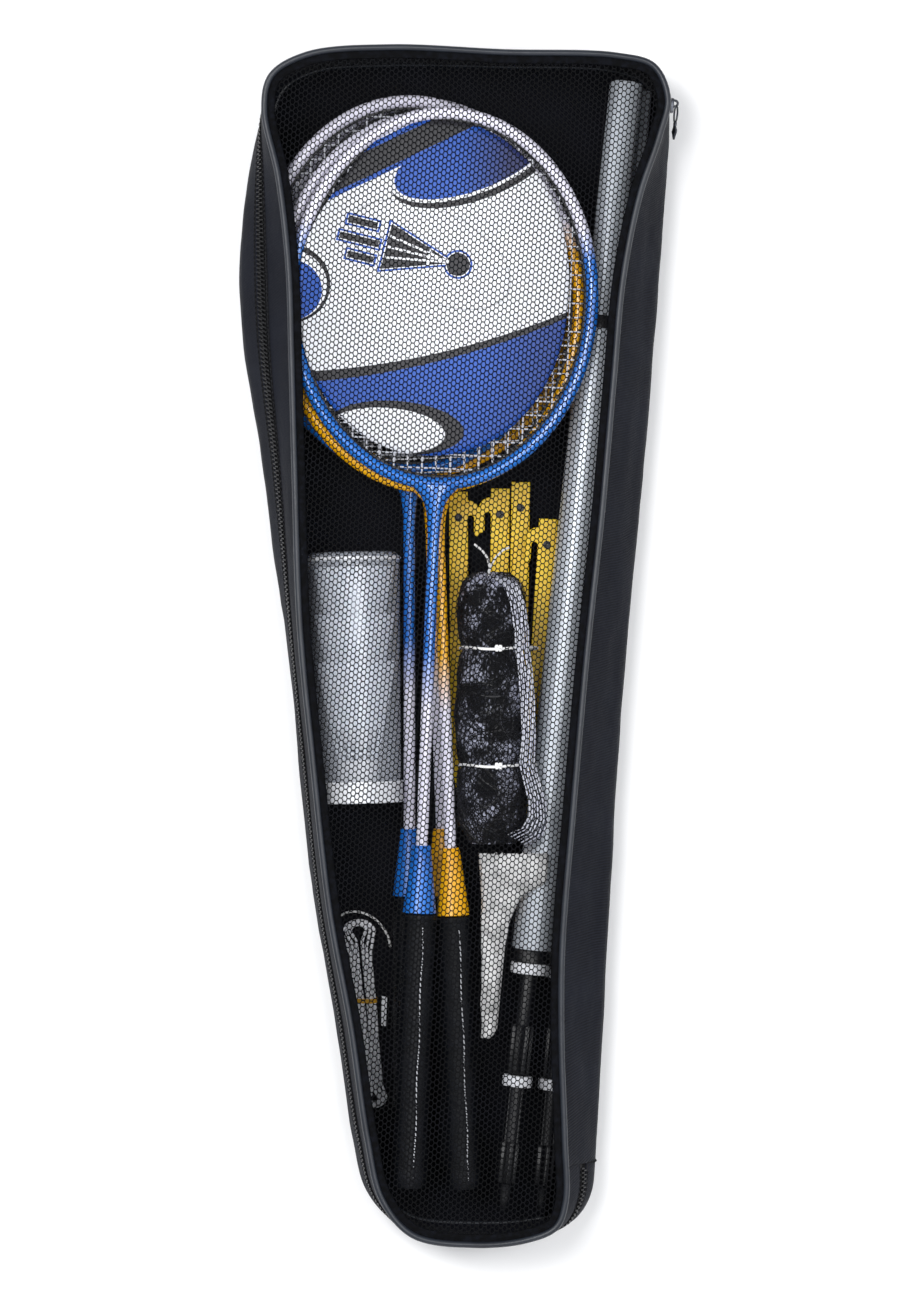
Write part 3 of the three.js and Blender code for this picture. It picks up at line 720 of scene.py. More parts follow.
def make_zip(paints):
    for name, body, node, heights in (
        ("zip_tape_rear", "bag", "zip_rear_chain", (40.6, 42.6, 44.7)),
        ("zip_tape_front", "front_flap", "zip_front_chain", (45.3, 47.4, 49.4)),
    ):
        rows = [[skin(s, z, 0.5 if 41 < z < 49 else -0.3) for z in heights[::-1]]
                for s in stations(ZIP_FROM, ZIP_TO, 10)]
        tape = Build().rows(rows, round_rows=False)
        obj = thicken(tape.make(name, paints["zip_tape"], "zip_chain", body=body), 0.8)
        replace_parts(obj, node)
    pitch = 2.6
    line = even_line(ZIP_FROM + 0.05, ZIP_TO - 0.05, ZIP_Z, -0.2, pitch / 2)
    for name, body, first, lean in (("zip_teeth_rear", "bag", 0, -1),
                                    ("zip_teeth_front", "front_flap", 1, 1)):
        teeth = Build()
        for station, _, _ in line[first::2]:
            hooked = skin(station, ZIP_Z - 0.3 * lean, -0.35)
            sewn = skin(station, ZIP_Z + 2.7 * lean, -0.2)
            teeth.tube([hooked, sewn], 0.5, sides=6)
        teeth.make(name, paints["zip_coil"], "zip_chain", body=body)
    for name, body, z in (("zip_stitch_rear", "bag", 40.9), ("zip_stitch_front", "front_flap", 49.3)):
        stitches = Build()
        seam_stitches(stitches, ZIP_FROM + 0.1, ZIP_TO - 0.1, z, -0.5)
        stitches.make(name, paints["binding"], "bag_fabric", body=body)


SLIDER_CENTRE = (104.0, 331.0)
SLIDER_RADIUS = 28.7
SLIDER_ANGLE = math.radians(-5)
PULL_TWIST = math.radians(22)


def make_slider(paints):
    x = SLIDER_CENTRE[0] + SLIDER_RADIUS * math.cos(SLIDER_ANGLE)
    y = SLIDER_CENTRE[1] + SLIDER_RADIUS * math.sin(SLIDER_ANGLE)
    place = Matrix.Translation(Vector((x, y, 44.0)) * MM) @ Matrix.Rotation(SLIDER_ANGLE, 4, "Z")
    body = Build()
    outline = [(-4.6, -1.9), (-2.0, -2.6), (3.0, -3.2), (4.6, -2.2), (4.6, 2.2), (3.0, 3.2),
               (-2.0, 2.6), (-4.6, 1.9)]
    turned = [(0.0, along, across) for along, across in outline]
    body.rows([[(px - 1.0, py, pz) for px, py, pz in turned],
               [(px + 0.9, py * 0.92, pz * 0.86) for px, py, pz in turned]], capped=True)
    body.tube([(0.7, 3.4, 0), (2.4, 3.1, 0), (3.2, 2.1, 0), (3.2, 0.8, 0), (2.4, -0.2, 0), (0.7, -0.6, 0)],
              0.8, sides=8)
    slider = bevel(body.make("slider", paints["zip_metal"], "zip_metal", body=None, place=place), 0.35)
    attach(slider, "zip_slider_body")
    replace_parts(slider, "zip_slider")

    pull = Build()
    link = [(2.6 + 0.25 * math.sin(t), 0.2 - 5.2 + 5.2 * math.cos(t), 1.9 * math.sin(t))
            for t in (2 * math.pi * k / 22 for k in range(22))]
    pull.tube(link, 0.62, sides=7, closed=True)
    spear = [(0, -9.2), (1.5, -10.2), (1.2, -12.6), (3.0, -15.4), (0, -20.7), (-3.0, -15.4), (-1.2, -12.6),
             (-1.5, -10.2)]
    pull.rows([[(2.0, py, pz) for pz, py in spear], [(3.3, py, pz) for pz, py in spear]], capped=True)
    twist = Matrix.Translation((2.6 * MM, 0, 0)) @ Matrix.Rotation(PULL_TWIST, 4, "Y")
    twist = place @ twist @ Matrix.Translation((-2.6 * MM, 0, 0))
    obj = bevel(pull.make("slider_pull", paints["zip_metal"], "zip_metal", body=None, place=twist), 0.3)
    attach(obj, "zip_pull_body")
    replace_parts(obj, "zip_pull")


# ---------------------------------------------------------------- the mesh front
CELL_WIDE = 3.25  # corner to corner across a cell; its columns stand 3/4 of this apart
CELL_LONG = 3.67
HOLE_SHARE = 0.80  # how much of a cell's width is open
MESH_TILT = math.radians(-5)


def inside_polygon(x, y, polygon):
    hit = np.zeros(x.shape, bool)
    for (ax, ay), (bx, by) in zip(polygon, polygon[1:] + polygon[:1]):
        if ay != by:
            cross = (ay > y) != (by > y)
            hit ^= cross & (x < (bx - ax) * (y - ay) / (by - ay) + ax)
    return hit


def drape(contents, outline):
    """Heights of a slack panel that is held round its edge and rests on what is under it."""
    step = 4.0
    xs = np.arange(-136, 140, step)
    ys = np.arange(-372, 372, step)
    under = np.full((len(xs), len(ys)), 40.0)
    graph = bpy.context.evaluated_depsgraph_get()
    for obj in contents:
        mesh = obj.evaluated_get(graph).to_mesh()
        points = np.empty(len(mesh.vertices) * 3)
        mesh.vertices.foreach_get("co", points)
        points = points.reshape(-1, 3)
        turn = np.array(obj.matrix_world)
        points = (points @ turn[:3, :3].T + turn[:3, 3]) / MM
        i = np.clip(np.round((points[:, 0] - xs[0]) / step).astype(int), 0, len(xs) - 1)
        j = np.clip(np.round((points[:, 1] - ys[0]) / step).astype(int), 0, len(ys) - 1)
        np.maximum.at(under, (i, j), np.minimum(points[:, 2], FRONT_Z - 1.6))
        obj.evaluated_get(graph).to_mesh_clear()
    gx, gy = np.meshgrid(xs, ys, indexing="ij")
    free = inside_polygon(gx, gy, outline)
    height = np.full(under.shape, FRONT_Z - 0.4)
    for _ in range(500):
        mean = (np.roll(height, 1, 0) + np.roll(height, -1, 0) + np.roll(height, 1, 1)
                + np.roll(height, -1, 1)) / 4
        height = np.where(free, np.maximum(mean - 0.012, under + 0.7), FRONT_Z - 0.4)

    def at(x, y):
        u, v = (x - xs[0]) / step, (y - ys[0]) / step
        i = np.clip(np.floor(u).astype(int), 0, len(xs) - 2)
        j = np.clip(np.floor(v).astype(int), 0, len(ys) - 2)
        u, v = u - i, v - j
        low = height[i, j] * (1 - u) + height[i + 1, j] * u
        high = height[i, j + 1] * (1 - u) + height[i + 1, j + 1] * u
        return low * (1 - v) + high * v

    return at


def make_mesh_front(paints, contents):
    def flat(inset):
        return [skin(s, FRONT_Z, inset)[:2] for s in ALL_ROUND]

    height = drape(contents, flat(7.0))
    columns, rows = 130, 220
    i, j = np.meshgrid(np.arange(-columns // 2, columns // 2), np.arange(-rows // 2, rows // 2),
                       indexing="ij")
    u = i * CELL_WIDE * 0.75
    v = (j + 0.5 * (i % 2)) * CELL_LONG
    corners = np.array([(0.5, 0), (0.25, 0.5), (-0.25, 0.5), (-0.5, 0), (-0.25, -0.5), (0.25, -0.5)])
    corners = corners * (CELL_WIDE, CELL_LONG)
    c, s = math.cos(MESH_TILT), math.sin(MESH_TILT)
    turn = np.array([(c, s), (-s, c)])
    centres = np.stack([u.ravel(), v.ravel()], -1) @ turn
    corners = corners @ turn
    centres = centres[inside_polygon(centres[:, 0], centres[:, 1], flat(4.5))]
    lattice = centres[:, None] + corners
    opening = centres[:, None] + corners * HOLE_SHARE
    keys = np.round(lattice.reshape(-1, 2) * 50).astype(np.int64)
    _, first, index = np.unique(keys, axis=0, return_index=True, return_inverse=True)
    ridge = lattice.reshape(-1, 2)[first]
    index = index.reshape(-1, 6)
    rim = opening.reshape(-1, 2)
    xy = np.vstack([ridge, rim])
    z = height(xy[:, 0], xy[:, 1])
    z[: len(ridge)] += 0.14
    points = np.column_stack([xy, z])
    base = len(ridge) + np.arange(len(centres))[:, None] * 6 + np.arange(6)
    after = np.roll(np.arange(6), -1)
    faces = np.stack([index, index[:, after], base[:, after], base], -1).reshape(-1, 4)
    mesh = piece("mesh_front", points, faces.tolist(), paints["mesh"], "bag_mesh", body="front_flap",
                 smooth_angle=80)
    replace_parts(mesh, "mesh_panel")

    hem_rows = []
    for s in ALL_ROUND:
        ring = []
        for inset, z in ((0.4, 63.4), (2.6, 63.5), (4.6, 63.6), (6.4, 63.3), (7.0, 62.9)):
            x, y, _ = skin(s, FRONT_Z, inset)
            ring.append((x, y, z + 0.3 * noise.noise(Vector((x * 0.06, y * 0.06, 3)))))
        hem_rows.append(ring)
    hem = Build().rows(hem_rows, round_rows=False, rows_meet=True)
    obj = thicken(hem.make("mesh_hem", paints["binding"], "binding", body="front_flap"), 0.7)
    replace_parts(obj, "mesh_binding")
    stitches = Build()
    seam_stitches(stitches, 0, len(STATIONS), 63.75, 4.4)
    stitches.make("hem_stitches", paints["stitch_dark"], "binding", body="front_flap")

    def piping_point(s):
        x, y, _ = skin(s, FRONT_Z, 1.0)
        return (x, y, 65.3 + 0.25 * noise.noise(Vector((x * 0.03, y * 0.03, 9))))

    cord = Build().tube([piping_point(s) for s in ALL_ROUND], 1.9, sides=12, closed=True)
    obj = cord.make("piping_front", paints["piping"], "piping", body="front_flap")
    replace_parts(obj, "front_piping")
    flange = Build()
    flange.rows([[skin(s, 63.2, -0.3), skin(s, 64.0, 0.1), skin(s, 65.0, 0.9)] for s in ALL_ROUND],
                round_rows=False, rows_meet=True)
    thicken(flange.make("piping_flange", paints["binding"], "piping", body="front_flap"), 0.6)
    return mesh


# ---------------------------------------------------------------- rackets
HEAD_A, HEAD_B = 91.0, 112.6
HEAD_TUBE = 3.9
SHAFT_RADIUS = 3.6
CONE_TOP = -333.0
CONE_LENGTH = 41.0
GRIP_LENGTH = 167.0
GRIP_RADIUS = 11.2
STRING_PITCH = 8.6
RACKETS = (
    ("racket_1", (-7.5, 210, 56.4), (-28, -331, 48.5), "blue"),
    ("racket_2", (-15.5, 208, 48), (5, -326, 37.5), "yellow"),
    ("racket_3", (-28, 219, 36), (-28, -315, 14), "blue"),
    ("racket_4", (-20, 219, 25), (-1, -315, 14), "yellow"),
)


def racket_place(head, butt):
    return along(head, (Vector(head) - Vector(butt)).normalized())


def string_bed():
    """Woven strings: each passes over and under the ones it crosses."""
    bed = Build()
    a, b = HEAD_A - HEAD_TUBE + 0.6, HEAD_B - HEAD_TUBE + 0.6
    for across in (True, False):
        reach, other = (b, a) if across else (a, b)
        count = int((reach - 6) / STRING_PITCH)
        for k in range(-count, count + 1):
            at = k * STRING_PITCH
            half = other * math.sqrt(max(1 - (at / reach) ** 2, 0))
            steps = max(int(4 * half / STRING_PITCH), 4)
            path = []
            for n in range(steps + 1):
                along = -half + 2 * half * n / steps
                phase = math.pi * (along / STRING_PITCH + k + (0 if across else 1))
                lift = 0.36 * math.cos(phase)
                path.append((along, at, lift) if across else (at, along, lift))
            bed.tube(path, 0.44, sides=4)
    return bed


def make_racket(paints, name, head, butt, colour):
    place = racket_place(head, butt)
    enamel = paints[f"{colour}_enamel"]
    ring = [(x, y, 0) for x, y in oval(HEAD_A, HEAD_B, 120)]
    shell = Build().tube(ring, HEAD_TUBE, sides=14, closed=True)
    shoulder = []
    for radius, squash, y in ((3.6, 1, -152), (3.7, 1, -144), (4.2, 0.97, -136), (5.2, 0.86, -129),
                              (6.8, 0.7, -124), (9.0, 0.54, -120), (12.5, 0.4, -116.4),
                              (15.0, 0.33, -113.5)):
        shoulder.append([(radius * math.cos(t), y, radius * squash * math.sin(t))
                         for t in (2 * math.pi * k / 20 for k in range(20))])
    shell.rows(shoulder[::-1], capped=True)
    shell.lathe([(SHAFT_RADIUS, -151.5), (SHAFT_RADIUS, CONE_TOP - 20)], segments=20)
    frame_piece = shell.make(f"{name}_hoop", enamel, f"{colour}_frame", place=place)
    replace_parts(frame_piece, f"{name}_frame")

    bed = string_bed().make(f"{name}_string_bed", paints["string"], "racket_string", place=place)
    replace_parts(bed, f"{name}_strings")
    grommets = Build()
    strip = [(x, y, 0) for x, y in oval(HEAD_A - HEAD_TUBE - 0.4, HEAD_B - HEAD_TUBE - 0.4, 120)]
    grommets.tube(strip, 1.0, sides=6, closed=True)
    for reach, other, upright in ((HEAD_A, HEAD_B, True), (HEAD_B, HEAD_A, False)):
        count = int((reach - 10) / STRING_PITCH)
        for k in range(-count, count + 1):
            at = k * STRING_PITCH
            end = other * math.sqrt(1 - (at / reach) ** 2)
            for side in (-1, 1):
                x, y = (at, side * end) if upright else (side * end, at)
                out = Vector((x / HEAD_A**2, y / HEAD_B**2, 0)).normalized()
                centre = Vector((x, y, 0))
                grommets.tube([centre - out * 6.8, centre - out * 4.0], [0.75, 1.1], sides=6)
    grommets.make(f"{name}_grommets", paints["grommet"], "racket_grip", place=place)

    cone = Build()
    low = CONE_TOP - CONE_LENGTH
    cone.lathe([(3.5, CONE_TOP + 0.2), (5.0, CONE_TOP + 0.2), (5.5, CONE_TOP - 0.5), (6.3, CONE_TOP - 7),
                (10.1, low + 1.2), (10.3, low + 0.4), (9.8, low), (3.6, low)], segments=40)
    obj = cone.make(f"{name}_taper", paints[f"{colour}_cone"], f"{colour}_cone", place=place)
    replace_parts(obj, f"{name}_cone")

    grip = Build()
    top = low - 0.4
    sections = [(0.80, 0), (0.93, -0.6), (0.96, -2.2), (0.93, -4.0), (0.91, -9)]
    sections += [(0.915 + 0.02 * math.sin(k * 1.9), -9 - 12.1 * k) for k in range(1, 12)]
    sections += [(0.96, -150), (1.0, -158), (1.0, -164.5), (0.95, -166.6), (0.7, -GRIP_LENGTH)]
    rows = []
    for scale, y in sections:
        row = []
        for k in range(40):
            t = 2 * math.pi * (k + 0.5) / 40
            facet = math.cos(math.pi / 8) / math.cos(((t) % (math.pi / 4)) - math.pi / 8)
            r = GRIP_RADIUS * scale * (0.55 * facet + 0.45)
            row.append((r * math.cos(t), top + y, r * math.sin(t)))
        rows.append(row)
    grip.rows(rows, capped=True)
    obj = grip.make(f"{name}_sleeve", paints["grip"], "racket_grip", place=place, smooth_angle=50)
    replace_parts(obj, f"{name}_grip")
    collar = Build().tube(hoop(9.9, top - 3.0, 36), 0.9, sides=8, closed=True)
    collar.make(f"{name}_collar", paints["grip"], "racket_grip", place=place)
    seam = Build()
    for k in range(46):
        y = top - 8 - k * 3.35
        off = 2.6 if colour == "blue" else 3.4
        lift = 10.2 + 0.3 * math.sin(k * 0.55)
        sway = 0.3 * math.sin(k * 0.4)
        seam.tube([(off + sway - 0.2, y, lift - 0.3), (off + sway, y - 1.2, lift + 0.2),
                   (off + sway + 0.2, y - 2.4, lift - 0.3)], 0.34, sides=5)
    seam.make(f"{name}_stitching", paints["stitch"], "racket_grip", place=place)


CARD_OFFSET = (-5.9, 6.3)  # the card's centre from the front racket's head centre


def make_card(paints):
    name, head, butt, _ = RACKETS[0]
    place = racket_place(head, butt) @ Matrix.Translation(Vector((*CARD_OFFSET, 0)) * MM)
    a, b = CARD_HALF

    def height(x, y):
        over_rim = max((-x - 62.0) / 21.0, 0.0)
        ripple = 0.25 * noise.noise(Vector((x * 0.03, y * 0.03, 1)))
        return 1.0 + 3.6 * over_rim**1.5 + ripple

    rings, spokes = 26, 120
    rows = []
    for r in range(1, rings + 1):
        row = []
        for k in range(spokes):
            t = 2 * math.pi * k / spokes
            c, s = math.cos(t), math.sin(t)
            reach = 1 / (abs(c) ** 2.12 + abs(s) ** 2.12) ** (1 / 2.12)
            reach *= 1 - 0.085 * math.exp(-(((t - 2.45) / 0.42) ** 2))
            x, y = a * c * reach * r / rings, b * s * reach * r / rings
            x = max(x, -82.0)
            row.append((x, y, height(x, y)))
        rows.append(row)
    sheet = Build().rows(rows)
    sheet.faces.append(tuple(range(spokes)))
    card = sheet.make("card_sheet", paints["card"], "card", place=place, smooth_angle=70)
    thicken(card, 0.5, 1.0)
    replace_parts(card, "backing_card")


# ---------------------------------------------------------------- poles
POLES = (
    ("pole_1", (105, 344), (46, -196), 10.0, 34.6),
    ("pole_2", (116.5, 341), (59.5, -279), 5.0, 14.6),
)
TUBE_RADIUS = 12.2
JOINT_AT = 152.0
LOWER_TUBE = 382.0
UPPER_TUBE = 210.0


def fluted(build, radius, start, end, flutes, depth):
    """A plug or spike with fins along it, and a chamfer at each end."""
    rows = []
    for y, grown in ((start, -depth), (start - 1.2, 0), (end + 1.2, 0), (end, -depth)):
        row = []
        for k in range(flutes * 6):
            turn = 2 * math.pi * k / (flutes * 6)
            valley = depth * (0.5 - 0.5 * math.cos(flutes * turn)) ** 0.6
            r = radius + grown - valley
            row.append((r * math.cos(turn), y, r * math.sin(turn)))
        rows.append(row)
    build.rows(rows, capped=True)


def make_pole(paints, name, top, low, upper, z):
    place = along((*top, z), (Vector((*top, z)) - Vector((*low, z))).normalized())

    def add(kind, profile, paint, slot, node):
        obj = Build().lathe(profile, 48).make(f"{name}_{kind}", paints[paint], slot, place=place)
        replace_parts(obj, f"{name}_{node}")
        return obj

    r = upper
    add("tube_top", [(0.1, -0.1), (r - 1.6, 0), (r - 0.5, -0.4), (r, -1.4), (r, -UPPER_TUBE),
                     (r - 0.8, -UPPER_TUBE), (r - 0.8, -2)], "pole", "pole_metal", "upper_tube")
    head, end = -JOINT_AT, -JOINT_AT - LOWER_TUBE
    t = TUBE_RADIUS
    add("sleeve", [(r + 0.3, head + 8), (t - 1.0, head + 8), (t - 0.5, head + 7.4), (t, head + 1),
                   (t, head + 0.3), (t - 1.3, head + 0.2), (t - 1.3, head - 18), (r + 0.3, head - 18)],
        "plug", "pole_plug", "reducer")
    add("tube_low", [(t - 1, head - 1), (t - 0.6, head), (t - 0.1, head - 0.3), (t, head - 1), (t, end + 1),
                     (t - 0.1, end + 0.3), (t - 0.6, end), (t - 1, end + 1)],
        "pole", "pole_metal", "lower_tube")
    collar, ring = end - 8, end - 15
    plug = Build().lathe([(t - 1.3, end + 22), (t - 1.3, end - 0.3), (t - 0.6, end - 0.3),
                          (t - 0.2, end - 0.8), (t - 0.2, collar + 0.5), (t - 0.7, collar),
                          (5.6, collar), (5.6, ring - 31), (6.4, ring - 32)], 48)
    fluted(plug, 7.4, ring - 31, ring - 62, 12, 1.3)
    obj = plug.make(f"{name}_plug_body", paints["plug"], "pole_plug", place=place)
    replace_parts(obj, f"{name}_plug")
    add("flange", [(5.9, collar - 0.3), (t - 1, collar - 0.3), (t - 0.4, collar - 1), (t - 0.4, ring + 0.7),
                   (t - 1, ring), (5.9, ring)], "white", "white_plastic", "plug_ring")
    spike_top = ring - 62.3
    spike = Build().lathe([(0.1, spike_top), (5, spike_top), (5, spike_top - 41)], 40)
    fluted(spike, 6.4, spike_top - 41, spike_top - 67, 10, 1.2)
    spike.lathe([(5.4, spike_top - 67), (4.6, spike_top - 69), (4.4, spike_top - 75), (3.4, spike_top - 82),
                 (2.2, spike_top - 84), (0.1, spike_top - 84)], 40)
    for k in range(4):
        fin = k * math.pi / 2 + math.pi / 4
        spike.tube([(5.2 * math.cos(fin), spike_top - 8, 5.2 * math.sin(fin)),
                    (5.2 * math.cos(fin), spike_top - 41, 5.2 * math.sin(fin))], 0.8, sides=6)
    obj = spike.make(f"{name}_spike_body", paints["plug"], "pole_plug", place=place)
    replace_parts(obj, f"{name}_spike")
    add("washer", [(5.3, spike_top - 0.3), (8.7, spike_top - 0.3), (9.2, spike_top - 0.9),
                   (9.2, spike_top - 6.4), (8.7, spike_top - 7), (5.3, spike_top - 7)],
        "white", "white_plastic", "spike_ring")


# ---------------------------------------------------------------- shuttlecocks
TUBE_TOP = (-62.5, 56.5, 32.0)
TUBE_BOTTOM = (-59.0, -97.0, 32.0)
TUBE_WIDE, TUBE_NARROW = 28.6, 26.2
SHUTTLE_PITCH = 29.0


def make_shuttle_tube(paints):
    way = Vector(TUBE_TOP) - Vector(TUBE_BOTTOM)
    place = along(TUBE_BOTTOM, way.normalized())
    long = way.length
    wide, narrow = TUBE_WIDE, TUBE_NARROW
    clear = Build().lathe([(narrow, 1.6), (narrow, 8), (narrow + (wide - narrow) * 0.5, long / 2),
                           (wide, long - 9), (wide + 0.1, long - 6), (wide - 0.2, long - 3),
                           (wide - 2.4, long - 0.6), (wide - 6, long), (wide - 12, long - 0.8),
                           (0.1, long - 1)], 72)
    tube = clear.make("clear_tube", paints["clear"], "clear_plastic", place=place)
    thicken(tube, 0.5)
    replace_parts(tube, "shuttle_tube")
    rim = Build().tube(hoop(wide - 0.5, long - 4.2, 72), 1.2, sides=8, closed=True)
    rim.make("tube_rim_bead", paints["white"], "white_plastic", place=place)
    cap = Build().lathe([(0.1, 1.2), (narrow - 2, 1.2), (narrow - 1.4, 0.4), (narrow + 1, 0),
                         (narrow + 1.6, 0.7), (narrow + 1.6, 4.0), (narrow + 1.0, 4.8), (narrow + 1.0, 11.4),
                         (narrow + 1.6, 12), (narrow + 1.5, 13), (narrow + 0.7, 13), (narrow + 0.7, 5)], 72)
    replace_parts(cap.make("tube_cap_body", paints["white"], "white_plastic", place=place), "tube_cap")

    for i in range(3):
        low = 3 + SHUTTLE_PITCH * i
        cork = Build().lathe([(0.1, low), (4.5, low + 0.5), (8.6, low + 2.6), (11.4, low + 6.2),
                              (12.5, low + 11),
                              (12.6, low + 15), (12.6, low + 16.6), (12.2, low + 17), (12.6, low + 17.4),
                              (12.6, low + 22.4), (11.8, low + 23), (0.1, low + 23)], 48)
        number = i + 1
        obj = cork.make(f"shuttle_{number}_nose", paints["foam"], "cork", place=place)
        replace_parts(obj, f"shuttlecock_{number}_cork")
        skirt = Build()
        start = low + 23.3
        for k in range(16):
            angle = 2 * math.pi * k / 16

            def at(share, swing=0.0):
                radius = 11.6 + 12.8 * share
                t = angle + swing
                return (radius * math.cos(t), start + 60 * share, radius * math.sin(t))

            skirt.tube([at(0), at(0.25), at(0.5), at(0.75), at(1)], [0.9, 0.7, 0.6, 0.55, 0.4], sides=5)
            for side in (-1, 1):
                blade = [at(0.42), at(0.55, side * 0.11), at(0.75, side * 0.17), at(0.92, side * 0.16),
                         at(1, side * 0.06)]
                skirt.tube(blade, 0.3, sides=4)
                for share in (0.55, 0.64, 0.73, 0.82, 0.91):
                    skirt.tube([at(share), at(share + 0.04, side * 0.16)], 0.22, sides=4)
        web = []
        for share in (0.3, 0.45, 0.6, 0.75, 0.9, 1.0):
            radius = 11.4 + 12.8 * share
            web.append([((radius - 0.7 * (k % 2)) * math.cos(math.pi * k / 24), start + 60 * share,
                         (radius - 0.7 * (k % 2)) * math.sin(math.pi * k / 24)) for k in range(48)])
        skirt.rows(web)
        for share, thick in ((0.06, 0.7), (0.2, 0.4), (0.32, 0.4), (0.44, 0.5), (0.7, 0.35),
                             (0.86, 0.35), (0.99, 0.4)):
            skirt.tube(hoop(11.6 + 12.8 * share, start + 60 * share, 48), thick, sides=5, closed=True)
        obj = skirt.make(f"shuttle_{number}_feathers", paints["nylon"], "nylon", place=place)
        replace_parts(obj, f"shuttlecock_{number}_skirt")


# ---------------------------------------------------------------- the net
NET_X, NET_Z = 22.5, 37.0
NET_SECTIONS = (
    (10, 9, 44), (18, 15.5, 38), (20.3, 18.5, 28), (20.5, 20, 17), (19.3, 18.6, 4), (17.3, 17.2, -2.5),
    (19.6, 18.5, -9), (21.3, 20.2, -22), (21.5, 20.5, -38), (21.3, 20, -56), (20.4, 19.0, -68),
    (18.3, 17.2, -74), (20.2, 18.7, -80), (21, 19.3, -94), (20.2, 18.5, -108), (13, 11.5, -122),
)
TIES = ((-2.5, 18.4, 18.2), (-74.0, 19.3, 18.4))


def net_radius(y, turn, grown=0.0):
    """A point on the folded net at a place along it and an angle round it."""
    ys = [-section[2] for section in NET_SECTIONS]
    a = np.interp(-y, ys, [section[0] for section in NET_SECTIONS]) + grown
    b = np.interp(-y, ys, [section[1] for section in NET_SECTIONS]) + grown
    lump = 1 + 0.05 * noise.noise(Vector((2.2 * math.cos(turn), y * 0.06, 2.2 * math.sin(turn))))
    lump -= 0.03 * abs(noise.noise(Vector((5 * math.cos(turn), y * 0.09, 5 * math.sin(turn)))))
    return Vector((NET_X + a * lump * math.cos(turn), y, NET_Z + b * lump * math.sin(turn)))


def make_net(paints):
    ys = [44 - 166 * k / 70 for k in range(71)]
    rows = [[net_radius(y, -2 * math.pi * k / 48) for k in range(48)] for y in ys]
    roll = Build().rows(rows, capped=True).make("net_roll", paints["net_core"], "net", smooth_angle=60)
    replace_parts(roll, "net_bundle")

    twine = Build()
    lobes = ((-1, 43), (-73, -4), (-121, -75))
    for _ in range(460):
        low, high = lobes[rng.choice((0, 1, 1, 2, 2))]
        y = rng.uniform(low + 2, high - 2)
        turn = rng.uniform(-0.35, math.pi + 0.35)
        heading = rng.choice((1, -1)) * rng.uniform(0.2, 1.35)
        bend = rng.uniform(-0.16, 0.16)
        lift = rng.uniform(0.2, 1.0)
        path = []
        for _ in range(rng.randint(12, 26)):
            path.append(net_radius(min(max(y, low), high), turn, lift))
            y += 2.1 * math.sin(heading)
            turn += 2.1 * math.cos(heading) / 20
            heading += bend
            if not low < y < high:
                heading = -heading
        if len(path) > 3:
            twine.tube(path, 0.22, sides=4)
    twine.make("net_twine", paints["twine"], "net")

    tape = Build()
    edge = [(31, 40), (38.5, 36), (42.5, 24), (44.6, 8), (44.8, -3), (46.6, -14), (48.2, -34),
            (48.8, -54), (48.0, -72), (51.0, -82), (55.2, -96), (56.0, -108), (52.5, -118), (44, -123)]
    for layer in range(7):
        spread = layer / 6
        path = []
        for k in range(len(edge) * 4 - 3):
            i, w = divmod(k, 4)
            a, b = edge[i], edge[min(i + 1, len(edge) - 1)]
            x = a[0] + (b[0] - a[0]) * w / 4
            y = a[1] + (b[1] - a[1]) * w / 4
            wide = 8.0 + 3.5 * np.clip((-y - 60) / 60, 0, 1)
            x -= wide * spread + 0.5 * noise.noise(Vector((layer * 3.1, y * 0.05, 0)))
            y += spread * 7.0 * np.clip((-y - 92) / 30, 0, 1)
            path.append((x, y))
        top = 58.6 - 1.6 * abs(spread - 0.4)
        rows = []
        for k, (x, y) in enumerate(path):
            drop = 0.8 * noise.noise(Vector((layer * 2.3, y * 0.04, 5)))
            rows.append([(x + 0.45, y, top - 9.6 + drop), (x + 0.45, y, top + drop - 0.4),
                         (x, y, top + drop), (x - 0.45, y, top + drop - 0.4),
                         (x - 0.45, y, top - 9.6 + drop)])
        tape.rows(rows, capped=True)
    obj = tape.make("head_tape_folds", paints["net_tape"], "net_tape", smooth_angle=50)
    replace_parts(obj, "net_headband")

    for number, (y, a, b) in enumerate(TIES, 1):
        loop = []
        for k in range(60):
            t = 2 * math.pi * k / 60
            stretch = 8.5 * max(math.cos(t), 0) ** 2
            loop.append((NET_X + (a + 0.9 + stretch) * math.cos(t), y + 0.6 * math.sin(3 * t),
                         NET_Z + (b + 0.9 + 3.4 * max(math.sin(t), 0)) * math.sin(t)))
        tie = Build().tube(loop, 0.85, sides=8, closed=True)
        knot_at = Vector((NET_X + 4, y, NET_Z + b + 4.4))
        knot = [knot_at + Vector((1.6 * math.cos(t), 1.5 * math.sin(2 * t), 0.5 * math.sin(t)))
                for t in (2 * math.pi * k / 20 for k in range(20))]
        tie.tube(knot, 0.8, sides=7, closed=True)
        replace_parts(tie.make(f"tie_string_{number}", paints["tie"], "tie_string"), f"net_tie_{number}")
    ends = Build()
    ends.tube([(20.2, 42, 50), (21, 47, 53), (20, 52, 54), (16.5, 57, 54), (11.5, 61, 53)], 0.7, sides=7)
    ends.tube([(20.2, 42, 50), (22, 48, 53), (25, 53, 54), (29, 57, 54), (33.5, 59, 53)], 0.7, sides=7)
    ends.make("tie_ends", paints["tie"], "tie_string")


# ---------------------------------------------------------------- pegs
PEG_LENGTH = 190.0
PEG_HALF = 5.75
PEGS = (
    ("peg_1", (2, 94), 0.4, 1, 0),
    ("peg_2", (28, 96), -0.6, -1, 0),
    ("peg_3", (40.6, 100), -0.8, 0, 0),
    ("peg_4", (57.5, 77), -3.5, -1, 10),
)


